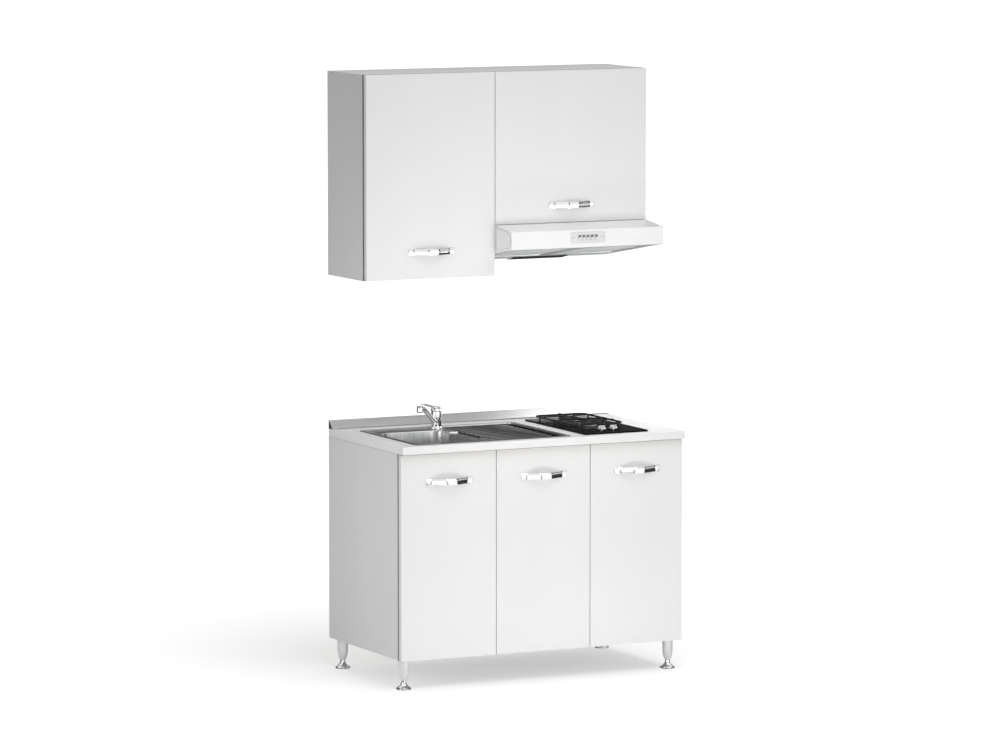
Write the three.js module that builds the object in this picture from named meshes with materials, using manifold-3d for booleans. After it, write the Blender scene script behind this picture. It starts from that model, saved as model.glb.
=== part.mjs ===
// Kitchenette unit: a base cabinet with three doors, an inset sink and a two-burner gas hob,
// and above it two wall cabinets, the shorter one with an extractor hood beneath it.
// Millimetres, +Z up. The doors face -Y, the wall side is +Y, the floor is z = 0.
// The origin lies on the floor, midway across the width and midway front to rear.

import * as THREE from 'three';
import { mergeVertices } from 'three/addons/utils/BufferGeometryUtils.js';
import Module from 'manifold-3d';

const wasm = await Module();
wasm.setup();

// ---------------------------------------------------------------- driving dimensions

const GAP = 0.3;                 // clearance left between neighbouring pieces

// Overall
const WIDTH = 1100;              // over the worktop and over the two wall cabinets
const BASE_DEPTH = 600;          // from the wall to the faces of the base doors
const LEG_HEIGHT = 105;
const BASE_HEIGHT = 720;         // base carcass without legs and worktop
const WORKTOP_THICK = 28;
const WORKTOP_LAP = 18;          // how far the worktop overhangs the door faces
const UNDERSIDE_HEIGHT = 1400;   // floor to the underside of the taller wall cabinet
const WALL_HEIGHT = 720;
const WALL_DEPTH = 320;          // from the wall to the faces of the wall doors

// Boards and doors
const BOARD = 18;                // base carcass boards
const WALL_BOARD = 16;           // wall carcass boards
const BACK = 8;                  // base back panel
const WALL_BACK = 4;
const DOOR = 18;
const DOOR_STANDOFF = 2;         // door to carcass edge
const DOOR_GAP = 3;              // between doors and below the worktop
const BASE_DOORS = 3;

// Handles: a flat strap bowed away from the door between two flat feet
const GRIP_LENGTH = 176;
const GRIP_HEIGHT = 22;
const GRIP_OUT = 28;
const GRIP_THICK = 4;
const GRIP_FOOT = 12;            // length of each flat foot
const GRIP_CROWN = 13;           // half length of the flat crown of the bow
const GRIP_TURN = 0.2;           // share of each slope that is rounded at either end
const BASE_GRIP_DROP = 98;       // handle axis below the top of a base door
const LEFT_GRIP_RISE = 95;       // handle axis above the bottom of the left wall door
const RIGHT_GRIP_RISE = 62;

// Legs and feet
const LEG_TOP_R = 19;
const LEG_WAIST_R = 9;
const FOOT_HEIGHT = 29;
const FOOT_NECK_R = 8.5;
const FOOT_R = 26.5;
const FOOT_RIM = 5;
const LEG_INSET_X = 32;          // leg axis to the outside of the side board
const LEG_INSET_FRONT = 48;      // leg axis to the door faces
const LEG_INSET_REAR = 45;

// Backsplash strip
const SPLASH_HEIGHT = 30;
const SPLASH_DEPTH = 30;
const SPLASH_LIP = 4;
const SPLASH_WALL = 1.6;

// Sink
const SINK_LEFT = 68;            // from the worktop's left end
const SINK_FRONT = 36;           // from the worktop's front edge
const SINK_TO_HOB = 57;          // worktop left between the sink and the hob
const SINK_CORNER = 18;
const SHEET = 1.5;
const BOWL_DEEP = 150;
const BOWL = { left: 14, front: 24, width: 250, depth: 330, corner: 45, fillet: 22 };
const TRAY = { left: 298, right: 12, front: 14, rear: 12, depth: 446, corner: 26, fillet: 6, deep: 8 };
const SPILLWAY = { left: 252, front: 88, width: 58, depth: 200, corner: 12, fillet: 4, deep: 6 };
const RIDGES = 11;
const RIDGE_HIGH = 3;
const RIDGE_WIDE = 10;
const RIDGE_END = 22;            // from a ridge's end to the drainer's side
const RIDGE_FIRST = 34;          // from the first and the last ridge to the drainer's edge
const OVERFLOW_R = 12;
const TAP_HOLE_R = 11;
const OVERFLOW_DROP = 52;        // below the deck
const WASTE_R = 30;
const RIM_LAP = 10;              // how far the sink's rim laps over the worktop

// Tap, measured from its own axis on the sink's deck
const TAP_LEFT = 270;            // from the sink's left edge
const TAP_FRONT = 404;           // from the sink's front edge
const TAP_AIM = 40;              // degrees the spout is turned from the left towards the front
const TAP_BASE_R = 24;
const TAP_COLUMN_R = 18.5;
const TAP_CORE_R = 13.8;
const TAP_FLANGE = 8;
const SLEEVE_TOP = 36;
const DOME_CENTRE = 57;
const SPOUT_R = 9.5;
const SPOUT_REACH = 138;
const SPOUT_RISE = 90;
const LEVER_REACH = 120;
const LEVER_SLOPE = 12;          // degrees
const LEVER_NECK = 70;           // where the lever starts to widen
const LEVER_HALF = 6.5;          // half its width there
const LEVER_THICK = 6.5;

// Hob
const HOB_BOX_CLEAR = 4.5;       // between the partition and the hob's steel box
const HOB_FRONT = 38;            // from the worktop's front edge
const HOB_WIDTH = 250;
const HOB_DEPTH = 480;
const HOB_GLASS = 6;
const HOB_CORNER = 8;
const HOB_BOX_INSET = 22;
const HOB_BOX_DEEP = 46;
const BURNERS = [                // x from the hob's left edge, y from its front edge
  { name: 'front', x: 123, y: 212, r: 27 },
  { name: 'rear', x: 123, y: 372, r: 36 },
];
const BURNER_HIGH = 9;
const CAP_HIGH = 4;
const SUPPORT_HIGH = 19;         // top of the pan support above the glass
const SUPPORT_CLEAR = 2;         // between the burner caps and the pan support's fingers
const SUPPORT_BAR = 6;
const SUPPORT = { left: 23, front: 134, width: 200, depth: 318, corner: 26 };
const KNOBS = [{ name: 'left', x: 92 }, { name: 'right', x: 138 }];
const KNOB_FRONT = 56;
const KNOB_R = 18;
const KNOB_HIGH = 12;
const KNOB_TRAVEL = 5;           // free height below the knob
const STEM_R = 4;

// Wall cabinets
const LEFT_WIDTH = 500;
const RIGHT_HEIGHT = 540;

// Extractor hood
const HOOD_DEPTH = 450;
const HOOD_FACE = 62;
const VISOR_DROP = 16;
const UNDERSIDE_DROP = 72;
const HOOD_SHEET = 2;
const FILTER_THICK = 8;
const FILTER_RIM = 14;           // width of a filter's frame
const FILTER_MESH = 1.2;
const FILTER_FRONT = 26;         // from the hood's face to the filters
const FILTER_LONG = 322;
const FILTER_BAR = 8;            // bar between the two filters
const FILTER_SIDE = 20;
const PLATE_WIDTH = 135;
const PLATE_HIGH = 38;
const PLATE_DROP = 27;           // plate centre below the top of the hood's face
const BUTTONS = 5;
const BUTTON_PITCH = 16.5;
const BUTTON_WIDE = 11;
const BUTTON_HIGH = 17;
const BUTTON_OUT = 3.5;
const LAMP = { width: 220, rear: 24, depth: 56, down: 4.5 };

// Concealed hinges
const HINGE_END = 100;           // hinge axis height from a door's end
const CUP_R = 15.5;
const CUP_EDGE = 22.5;           // cup centre from the door's edge

// ---------------------------------------------------------------- derived places

const WALL_Y = (BASE_DEPTH + GRIP_OUT) / 2;
const FACE_Y = WALL_Y - BASE_DEPTH;
const CARCASS_Y = FACE_Y + DOOR + DOOR_STANDOFF;
const WORKTOP_Y = FACE_Y - WORKTOP_LAP;
const LEFT_X = -WIDTH / 2;
const RIGHT_X = WIDTH / 2;
const BASE_BOTTOM = LEG_HEIGHT;
const BASE_TOP = BASE_BOTTOM + BASE_HEIGHT;
const WORKTOP_Z = BASE_TOP + WORKTOP_THICK;
const DECK_Z = WORKTOP_Z + GAP + SHEET;

const DOOR_PITCH = WIDTH / BASE_DOORS;
const PARTITION_X = LEFT_X + 2 * DOOR_PITCH;       // axis of the board between middle and right
const BACK_Y = WALL_Y - 20 - BACK;

const HOB_X = PARTITION_X + BOARD / 2 + HOB_BOX_CLEAR - HOB_BOX_INSET;
const HOB_Y = WORKTOP_Y + HOB_FRONT;
const GLASS_Z = WORKTOP_Z + GAP + HOB_GLASS;

const SINK_X = LEFT_X + SINK_LEFT;
const SINK_WIDTH = HOB_X - SINK_TO_HOB - SINK_X;
const TRAY_WIDTH = SINK_WIDTH - TRAY.left - TRAY.right;
const SINK_DEPTH = TRAY.front + TRAY.depth + TRAY.rear;
const SINK_Y = WORKTOP_Y + SINK_FRONT;
const WASTE_X = SINK_X + BOWL.left + BOWL.width / 2;
const WASTE_Y = SINK_Y + BOWL.front + BOWL.depth / 2;
const BOWL_FLOOR = DECK_Z - BOWL_DEEP;

const WALL_FACE_Y = WALL_Y - WALL_DEPTH;
const WALL_CARCASS_Y = WALL_FACE_Y + DOOR + DOOR_STANDOFF;
const WALL_TOP = UNDERSIDE_HEIGHT + WALL_HEIGHT;
const SPLIT_X = LEFT_X + LEFT_WIDTH;
const RIGHT_BOTTOM = WALL_TOP - RIGHT_HEIGHT;

const HOOD_TOP = RIGHT_BOTTOM - GAP;
const HOOD_FRONT_Y = WALL_Y - HOOD_DEPTH;
const HOOD_FACE_TOP = HOOD_TOP - VISOR_DROP;
const HOOD_FACE_BOTTOM = HOOD_FACE_TOP - HOOD_FACE;
const HOOD_X0 = SPLIT_X + GAP;
const HOOD_X1 = RIGHT_X - GAP;
const HOOD_MID_X = (HOOD_X0 + HOOD_X1) / 2;
const UNDERSIDE_SLOPE = UNDERSIDE_DROP / HOOD_DEPTH;
const undersideZ = (y) => HOOD_FACE_BOTTOM - UNDERSIDE_SLOPE * (y - HOOD_FRONT_Y);

// ---------------------------------------------------------------- materials

const material = (color, roughness, metalness = 0) =>
  new THREE.MeshStandardMaterial({ color, roughness, metalness });

const WHITE_BOARD = material(0xe9e9e7, 0.55);
const WHITE_DOOR = material(0xf2f2f0, 0.4);
const SATIN_GREY = material(0xc9cacb, 0.45, 0.6);
const ALUMINIUM = material(0xb2b4b6, 0.4, 0.9);
const STEEL = material(0xb9bcbe, 0.3, 1);
const CHROME = material(0xd8dadc, 0.1, 1);
const BLACK_GLASS = material(0x0c0c0e, 0.08);
const BLACK_ENAMEL = material(0x161616, 0.4);
const WHITE_ENAMEL = material(0xf4f4f2, 0.3);
const FILTER_GREY = material(0xa9adb0, 0.5, 0.6);
const WHITE_PLASTIC = material(0xdadada, 0.5);
const GREY_PLASTIC = material(0x6f7376, 0.5);

// ---------------------------------------------------------------- geometry helpers

const X = new THREE.Vector3(1, 0, 0);
const Y = new THREE.Vector3(0, 1, 0);
const Z = new THREE.Vector3(0, 0, 1);

// A closed geometry as a solid that can be joined and cut
function solid(geometry) {
  const bare = geometry.index ? geometry.toNonIndexed() : geometry.clone();
  bare.deleteAttribute('normal');
  bare.deleteAttribute('uv');
  const merged = mergeVertices(bare, 1e-4);
  return new wasm.Manifold(new wasm.Mesh({
    numProp: 3,
    vertProperties: new Float32Array(merged.attributes.position.array),
    triVerts: new Uint32Array(merged.index.array),
  }));
}

function geometryOf(shape) {
  const { vertProperties, triVerts } = shape.getMesh();
  const geometry = new THREE.BufferGeometry();
  geometry.setAttribute('position', new THREE.BufferAttribute(new Float32Array(vertProperties), 3));
  geometry.setIndex(new THREE.BufferAttribute(new Uint32Array(triVerts), 1));
  geometry.computeVertexNormals();
  return geometry;
}

const join = (first, ...others) => others.reduce((sum, other) => sum.add(other), first);
const cut = (first, ...tools) => tools.reduce((rest, tool) => rest.subtract(tool), first);

// A box from its six bounds
function block(x0, x1, y0, y1, z0, z1) {
  const geometry = new THREE.BoxGeometry(x1 - x0, y1 - y0, z1 - z0);
  geometry.translate((x0 + x1) / 2, (y0 + y1) / 2, (z0 + z1) / 2);
  return solid(geometry);
}

const polygon = (points) => new THREE.Shape(points.map(([u, v]) => new THREE.Vector2(u, v)));

function roundedRect(x0, y0, x1, y1, r) {
  const shape = new THREE.Shape();
  shape.absarc(x1 - r, y0 + r, r, -Math.PI / 2, 0);
  shape.absarc(x1 - r, y1 - r, r, 0, Math.PI / 2);
  shape.absarc(x0 + r, y1 - r, r, Math.PI / 2, Math.PI);
  shape.absarc(x0 + r, y0 + r, r, Math.PI, 1.5 * Math.PI);
  return shape;
}

function extrude(shape, length, curveSegments = 4) {
  return new THREE.ExtrudeGeometry(shape, { depth: length, bevelEnabled: false, curveSegments });
}

// An outline in (y, z) run along x, in (x, z) along y, and in (x, y) along z
function alongX(shape, x0, x1, segments) {
  const geometry = extrude(shape, x1 - x0, segments);
  return solid(geometry.applyMatrix4(new THREE.Matrix4().makeBasis(Y, Z, X).setPosition(x0, 0, 0)));
}

function alongY(shape, y0, y1, segments) {
  const back = Y.clone().negate();
  const geometry = extrude(shape, y1 - y0, segments);
  return solid(geometry.applyMatrix4(new THREE.Matrix4().makeBasis(X, Z, back).setPosition(0, y1, 0)));
}

function alongZ(shape, z0, z1, segments) {
  return solid(extrude(shape, z1 - z0, segments).translate(0, 0, z0));
}

// A profile of [radius, height] pairs turned about a vertical axis; it starts and ends on the axis
function turned(profile, segments = 22) {
  const points = profile.map(([r, z]) => new THREE.Vector2(r, z));
  return solid(new THREE.LatheGeometry(points, segments).rotateX(Math.PI / 2));
}

const upright = (r, z0, z1, segments = 20) => turned([[0, z0], [r, z0], [r, z1], [0, z1]], segments);

// A round bar between two points
function bar(from, to, r, segments = 16) {
  const a = new THREE.Vector3(...from);
  const b = new THREE.Vector3(...to);
  const geometry = new THREE.CylinderGeometry(r, r, a.distanceTo(b), segments);
  const turn = new THREE.Quaternion().setFromUnitVectors(Y, b.clone().sub(a).normalize());
  geometry.applyQuaternion(turn);
  geometry.translate(...a.add(b).multiplyScalar(0.5).toArray());
  return solid(geometry);
}

// A round tube's outside swept along a smooth curve through the points
function hose(points, r, steps = 12, segments = 10) {
  const path = new THREE.CatmullRomCurve3(points.map((p) => new THREE.Vector3(...p)));
  const section = new THREE.Shape().absarc(0, 0, r, 0, 2 * Math.PI);
  return solid(new THREE.ExtrudeGeometry(section, {
    steps, extrudePath: path, curveSegments: segments,
  }));
}

// A pressed basin's volume: a rounded rectangle with a filleted floor, open above z1
function basin(x0, y0, x1, y1, corner, floor, z1, fillet) {
  const geometry = new THREE.ExtrudeGeometry(roundedRect(x0, y0, x1, y1, corner), {
    depth: z1 - floor - 2 * fillet, curveSegments: 4, bevelEnabled: true,
    bevelThickness: fillet, bevelSize: fillet, bevelOffset: -fillet, bevelSegments: fillet > 10 ? 3 : 1,
  });
  return solid(geometry.translate(0, 0, floor + fillet));
}

const kitchenette = new THREE.Group();
kitchenette.name = 'kitchenette_unit';

function add(name, shape, look, parent = kitchenette) {
  const mesh = new THREE.Mesh(geometryOf(shape), look);
  mesh.name = name;
  parent.add(mesh);
  return mesh;
}

function groupAt(x, y, z, turn = 0) {
  const group = new THREE.Group();
  group.position.set(x, y, z);
  group.rotation.z = turn;
  kitchenette.add(group);
  return group;
}

// ---------------------------------------------------------------- concealed hinges

// The arm and its cross-shaped plate on a board's face; side is +1 when they stand out towards +x
function hingeArm(faceX, side, frontY, z) {
  const out = (d) => faceX + side * d;
  const slab = (d0, d1, y0, y1, z0, z1) =>
    block(Math.min(out(d0), out(d1)), Math.max(out(d0), out(d1)), y0, y1, z0, z1);
  return join(
    slab(-1, 3, frontY + 24, frontY + 40, z - 25, z + 25),
    slab(-1, 6, frontY + 14, frontY + 58, z - 8, z + 8),
    slab(5, 15, frontY + 3, frontY + 62, z - 7, z + 7),
  );
}

// A door in its own frame: outer face on y = 0, thickness towards +y, centred on x = 0, z from 0.
// hinge is -1 for a door hung on its left edge and +1 for its right edge.
function door(width, height, hinge) {
  const cupX = hinge * (width / 2 - CUP_EDGE);
  const ends = [HINGE_END, height - HINGE_END];
  const disc = (r, y0, y1, z) =>
    solid(new THREE.CylinderGeometry(r, r, y1 - y0, 14).translate(cupX, (y0 + y1) / 2, z));
  const panel = block(-width / 2, width / 2, 0, DOOR, 0, height);
  const flanged = join(panel, ...ends.map((z) => disc(CUP_R + 4, DOOR - 1, DOOR + 1, z)));
  return cut(flanged, ...ends.map((z) => disc(CUP_R, DOOR - 11, DOOR + 2, z)));
}

// ---------------------------------------------------------------- base cabinet

const HINGE_ZS = [BASE_BOTTOM + HINGE_END, BASE_TOP - DOOR_GAP - HINGE_END];

function baseSide(outerX, side) {
  const innerX = outerX + side * BOARD;
  const board = block(Math.min(outerX, innerX), Math.max(outerX, innerX),
    CARCASS_Y, WALL_Y, BASE_BOTTOM, BASE_TOP);
  const deep = innerX - side * 8;
  const groove = block(Math.min(innerX + side, deep), Math.max(innerX + side, deep),
    BACK_Y - GAP, BACK_Y + BACK + GAP, BASE_BOTTOM - 1, BASE_TOP + 1);
  return join(cut(board, groove), ...HINGE_ZS.map((z) => hingeArm(innerX, side, CARCASS_Y, z)));
}

const RAIL_HIGH = 80;
const SHELF_RISE = 350;
const SHELF_SETBACK = 32;
const PIN_FRONT = 80;            // from the carcass's front edge
const PIN_REAR = 60;             // from the back panel
const BASE_SHELF_Z = BASE_BOTTOM + SHELF_RISE;

function shelfPins(faceX, side, ys, z) {
  const x0 = faceX - side;
  const x1 = faceX + side * 8;
  return ys.map((y) => bar([x0, y, z], [x1, y, z], 2.5, 8));
}

function partition() {
  const x0 = PARTITION_X - BOARD / 2;
  const x1 = PARTITION_X + BOARD / 2;
  const board = block(x0, x1, CARCASS_Y, BACK_Y - GAP, BASE_BOTTOM + BOARD + GAP, BASE_TOP);
  const notch = block(x0 - 1, x1 + 1, CARCASS_Y - 1, CARCASS_Y + BOARD + GAP,
    BASE_TOP - RAIL_HIGH - GAP, BASE_TOP + 1);
  return join(cut(board, notch),
    ...HINGE_ZS.map((z) => hingeArm(x0, -1, CARCASS_Y, z)),
    ...shelfPins(x1, 1, [CARCASS_Y + PIN_FRONT, BACK_Y - PIN_REAR], BASE_SHELF_Z - 2.5 - GAP));
}

add('base_side_left', baseSide(LEFT_X, 1), WHITE_BOARD);
add('base_side_right', join(baseSide(RIGHT_X, -1),
  ...shelfPins(RIGHT_X - BOARD, -1, [CARCASS_Y + PIN_FRONT, BACK_Y - PIN_REAR], BASE_SHELF_Z - 2.5 - GAP)), WHITE_BOARD);
add('base_partition', partition(), WHITE_BOARD);
add('base_bottom', block(LEFT_X + BOARD + GAP, RIGHT_X - BOARD - GAP,
  CARCASS_Y, BACK_Y - GAP, BASE_BOTTOM, BASE_BOTTOM + BOARD), WHITE_BOARD);
add('base_rail_front', block(LEFT_X + BOARD + GAP, RIGHT_X - BOARD - GAP,
  CARCASS_Y, CARCASS_Y + BOARD, BASE_TOP - RAIL_HIGH, BASE_TOP), WHITE_BOARD);
add('base_shelf', block(PARTITION_X + BOARD / 2 + GAP, RIGHT_X - BOARD - GAP,
  CARCASS_Y + SHELF_SETBACK, BACK_Y - GAP, BASE_SHELF_Z, BASE_SHELF_Z + BOARD), WHITE_BOARD);

const OUTLET_R = 20;
const OUTLET_DROP = 130;         // outlet axis below the bowl's floor
const OUTLET_Z = BOWL_FLOOR - OUTLET_DROP;
add('base_back', cut(
  block(LEFT_X + BOARD - 7, RIGHT_X - BOARD + 7, BACK_Y, BACK_Y + BACK, BASE_BOTTOM, BASE_TOP),
  bar([WASTE_X, BACK_Y - 5, OUTLET_Z], [WASTE_X, WALL_Y, OUTLET_Z], OUTLET_R + 2, 24)), WHITE_BOARD);

// ---------------------------------------------------------------- worktop and backsplash

function worktop() {
  const slab = block(LEFT_X, RIGHT_X, WORKTOP_Y, WALL_Y, BASE_TOP + GAP, WORKTOP_Z);
  const sinkHole = block(SINK_X + RIM_LAP, SINK_X + SINK_WIDTH - RIM_LAP,
    SINK_Y + RIM_LAP, SINK_Y + SINK_DEPTH - RIM_LAP, BASE_TOP - 1, WORKTOP_Z + 1);
  const lap = HOB_BOX_INSET - 1;
  const hobHole = block(HOB_X + lap, HOB_X + HOB_WIDTH - lap,
    HOB_Y + lap, HOB_Y + HOB_DEPTH - lap, BASE_TOP - 1, WORKTOP_Z + 1);
  return cut(slab, sinkHole, hobHole);
}
add('worktop', worktop(), WHITE_BOARD);

// A hollow bevelled strip, open at its ends
function backsplash() {
  const outline = (t) => polygon([
    [WALL_Y - t, WORKTOP_Z + GAP + t],
    [WALL_Y - t, WORKTOP_Z + SPLASH_HEIGHT - t],
    [WALL_Y - 5 + t * 0.2, WORKTOP_Z + SPLASH_HEIGHT - t],
    [WALL_Y - SPLASH_DEPTH + t, WORKTOP_Z + SPLASH_LIP - t * 0.4],
    [WALL_Y - SPLASH_DEPTH + t, WORKTOP_Z + GAP + t],
  ]);
  return cut(alongX(outline(0), LEFT_X, RIGHT_X), alongX(outline(SPLASH_WALL), LEFT_X - 1, RIGHT_X + 1));
}
add('backsplash', backsplash(), ALUMINIUM);

// ---------------------------------------------------------------- legs and feet

function legProfile() {
  const bottom = FOOT_HEIGHT + GAP;
  const top = LEG_HEIGHT - GAP;
  const steps = 6;
  const bow = Array.from({ length: steps + 1 }, (_, i) => {
    const t = i / steps;
    const swell = 1 - (1 - t) ** 5;
    return [LEG_WAIST_R + (LEG_TOP_R - LEG_WAIST_R) * swell, bottom + (top - bottom) * t];
  });
  return [[0, bottom], ...bow, [0, top]];
}

function footProfile() {
  const steps = 6;
  const flare = Array.from({ length: steps + 1 }, (_, i) => {
    const t = 1 - i / steps;
    return [FOOT_NECK_R + (FOOT_R - FOOT_NECK_R) * t ** 2.4, FOOT_RIM + (FOOT_HEIGHT - FOOT_RIM) * (1 - t)];
  });
  return [[0, 0], [FOOT_R, 0], ...flare, [0, FOOT_HEIGHT]];
}

const LEG_PLACES = [
  ['front_left', LEFT_X + LEG_INSET_X, FACE_Y + LEG_INSET_FRONT],
  ['front_right', RIGHT_X - LEG_INSET_X, FACE_Y + LEG_INSET_FRONT],
  ['rear_left', LEFT_X + LEG_INSET_X, WALL_Y - LEG_INSET_REAR],
  ['rear_right', RIGHT_X - LEG_INSET_X, WALL_Y - LEG_INSET_REAR],
];
for (const [place, x, y] of LEG_PLACES) {
  const corner = groupAt(x, y, 0);
  add(`leg_${place}`, turned(legProfile(), 18), SATIN_GREY, corner);
  add(`foot_${place}`, turned(footProfile(), 18), CHROME, corner);
}

// ---------------------------------------------------------------- doors and handles

// The strap's bow in its own frame: x along the door, -y away from it
function handle() {
  const half = GRIP_LENGTH / 2;
  const run = half - GRIP_FOOT;
  const soft = 2 * GRIP_TURN * (1 - GRIP_TURN);
  const rise = (t) => (t < GRIP_TURN ? t * t / soft : (t - GRIP_TURN / 2) / (1 - GRIP_TURN));
  const lift = (x) => {
    const t = Math.min(1, Math.max(0, (run - Math.abs(x)) / (run - GRIP_CROWN)));
    return (GRIP_OUT - GRIP_THICK - GAP) * (t > 1 - GRIP_TURN ? 1 - (1 - t) ** 2 / soft : rise(t));
  };
  const steps = 18;
  const xs = Array.from({ length: steps + 1 }, (_, i) => -run + (2 * run * i) / steps);
  const inner = [[-half, 0], ...xs.map((x) => [x, -lift(x)]), [half, 0]];
  const outer = [...inner].reverse().map(([x, y]) => [x, y - GRIP_THICK]);
  return alongZ(polygon([...outer, ...inner]), -GRIP_HEIGHT / 2, GRIP_HEIGHT / 2)
    .translate([0, -GAP, 0]);
}

function hungDoor(name, handleName, left, right, faceY, bottom, top, hinge, gripZ) {
  const group = groupAt((left + right) / 2, faceY, bottom);
  add(name, door(right - left, top - bottom, hinge), WHITE_DOOR, group);
  add(handleName, handle(), CHROME, group).position.z = gripZ - bottom;
}

const BASE_DOOR_TOP = BASE_TOP - DOOR_GAP;
const BASE_HINGES = { left: -1, middle: 1, right: 1 };
Object.entries(BASE_HINGES).forEach(([place, hinge], i) => {
  const left = LEFT_X + i * DOOR_PITCH + DOOR_GAP / 2;
  hungDoor(`base_door_${place}`, `base_handle_${place}`, left, left + DOOR_PITCH - DOOR_GAP,
    FACE_Y, BASE_BOTTOM, BASE_DOOR_TOP, hinge, BASE_DOOR_TOP - BASE_GRIP_DROP);
});

const WALL_DOOR_TOP = WALL_TOP - DOOR_GAP / 2;
const LEFT_DOOR_BOTTOM = UNDERSIDE_HEIGHT + DOOR_GAP / 2;
const RIGHT_DOOR_BOTTOM = RIGHT_BOTTOM + DOOR_GAP / 2;
hungDoor('wall_door_left', 'wall_handle_left', LEFT_X + DOOR_GAP / 2, SPLIT_X - DOOR_GAP / 2,
  WALL_FACE_Y, LEFT_DOOR_BOTTOM, WALL_DOOR_TOP, -1, LEFT_DOOR_BOTTOM + LEFT_GRIP_RISE);
hungDoor('wall_door_right', 'wall_handle_right', SPLIT_X + DOOR_GAP / 2, RIGHT_X - DOOR_GAP / 2,
  WALL_FACE_Y, RIGHT_DOOR_BOTTOM, WALL_DOOR_TOP, 1, RIGHT_DOOR_BOTTOM + RIGHT_GRIP_RISE);

// ---------------------------------------------------------------- sink

// The outside and inside volumes of one pressed hollow in the sheet
function pressing({ left, front, width, depth, corner, fillet }, deep) {
  const x0 = SINK_X + left;
  const y0 = SINK_Y + front;
  const outside = basin(x0 - SHEET, y0 - SHEET, x0 + width + SHEET, y0 + depth + SHEET,
    corner + SHEET, DECK_Z - deep - SHEET, DECK_Z + 60, fillet + SHEET);
  const inside = basin(x0, y0, x0 + width, y0 + depth, corner, DECK_Z - deep, DECK_Z + 60, fillet);
  return { outside, inside };
}

function ridge(y) {
  const x0 = SINK_X + TRAY.left + RIDGE_END;
  const x1 = SINK_X + TRAY.left + TRAY_WIDTH - RIDGE_END;
  const floor = DECK_Z - TRAY.deep;
  const foot = RIDGE_WIDE / 2;
  const crest = RIDGE_WIDE / 5;
  return alongX(polygon([[y - foot, floor - SHEET / 3], [y + foot, floor - SHEET / 3], [y + foot, floor + 0.2],
    [y + crest, floor + RIDGE_HIGH], [y - crest, floor + RIDGE_HIGH], [y - foot, floor + 0.2]]), x0, x1);
}

function sink() {
  const rim = alongZ(roundedRect(SINK_X, SINK_Y, SINK_X + SINK_WIDTH, SINK_Y + SINK_DEPTH, SINK_CORNER),
    DECK_Z - SHEET, DECK_Z);
  const hollows = [pressing(BOWL, BOWL_DEEP), pressing({ ...TRAY, width: TRAY_WIDTH }, TRAY.deep),
    pressing(SPILLWAY, SPILLWAY.deep)];
  const below = block(SINK_X, SINK_X + SINK_WIDTH, SINK_Y, SINK_Y + SINK_DEPTH, BOWL_FLOOR - 20, DECK_Z);
  const pressed = cut(
    join(rim, ...hollows.map(({ outside }) => outside.intersect(below))),
    ...hollows.map(({ inside }) => inside));
  const first = SINK_Y + TRAY.front + RIDGE_FIRST;
  const pitch = (TRAY.depth - 2 * RIDGE_FIRST) / (RIDGES - 1);
  const ridges = Array.from({ length: RIDGES }, (_, i) => ridge(first + i * pitch));
  const bowlLeft = SINK_X + BOWL.left;
  const overflowZ = DECK_Z - OVERFLOW_DROP;
  return cut(join(pressed, ...ridges),
    upright(WASTE_R, BOWL_FLOOR - 10, BOWL_FLOOR + 10).translate([WASTE_X, WASTE_Y, 0]),
    upright(TAP_HOLE_R, DECK_Z - 10, DECK_Z + 10).translate([SINK_X + TAP_LEFT, SINK_Y + TAP_FRONT, 0]),
    bar([bowlLeft - 10, WASTE_Y, overflowZ], [bowlLeft + 10, WASTE_Y, overflowZ], OVERFLOW_R, 20));
}
add('sink', sink(), STEEL);

// The waste cup, bottle trap, outlet pipe and overflow hose under the bowl
function trap() {
  const seat = GAP;
  const under = -SHEET - GAP;
  const cup = turned([
    [0, -187], [28, -187], [34, -179], [34, -111], [30, -105], [20, -99], [20, -53], [33, -43],
    [33, under - 14], [37, under - 12], [37, under], [WASTE_R - 0.5, under], [WASTE_R - 0.5, seat],
    [40, seat], [40, seat + 1.5], [25.5, seat + 1.5], [25.5, -41], [11, -41], [11, -145], [0, -145],
  ], 16).translate([WASTE_X, WASTE_Y, BOWL_FLOOR]);
  const outlet = bar([WASTE_X, WASTE_Y + 25, OUTLET_Z], [WASTE_X, WALL_Y - GAP, OUTLET_Z], OUTLET_R, 16);
  const nut = bar([WASTE_X, WASTE_Y + 28, OUTLET_Z], [WASTE_X, WASTE_Y + 52, OUTLET_Z], OUTLET_R + 6, 12);
  const wallX = SINK_X + BOWL.left - SHEET - GAP;
  const overflowZ = DECK_Z - OVERFLOW_DROP;
  const collar = bar([wallX, WASTE_Y, overflowZ], [wallX - 10, WASTE_Y, overflowZ], OVERFLOW_R + 5, 16);
  const overflow = hose([
    [wallX - 5, WASTE_Y, overflowZ], [wallX - 22, WASTE_Y, overflowZ - 14],
    [wallX - 24, WASTE_Y, overflowZ - 60], [wallX - 6, WASTE_Y, BOWL_FLOOR - 22],
    [WASTE_X - 60, WASTE_Y, BOWL_FLOOR - 32], [WASTE_X - 29, WASTE_Y, BOWL_FLOOR - 34],
  ], 8, 10, 6);
  return join(cup, outlet, nut, collar, overflow);
}
add('sink_trap', trap(), WHITE_PLASTIC);

function strainer() {
  const rest = BOWL_FLOOR + 2 * GAP + 1.5;
  return turned([[0, rest - 16], [22, rest - 16], [24, rest], [29, rest], [29, rest + 1.4], [22, rest + 1.4],
    [20, rest - 14], [3.5, rest - 14], [3.5, rest + 8], [7, rest + 10], [7, rest + 14], [0, rest + 15]], 18);
}
add('sink_strainer', strainer().translate([WASTE_X, WASTE_Y, 0]), CHROME);

// ---------------------------------------------------------------- tap

// In its own frame the tap's spout and lever point along +x from an axis on the deck
const tap = groupAt(SINK_X + TAP_LEFT, SINK_Y + TAP_FRONT, DECK_Z,
  THREE.MathUtils.degToRad(180 + TAP_AIM));

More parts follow.
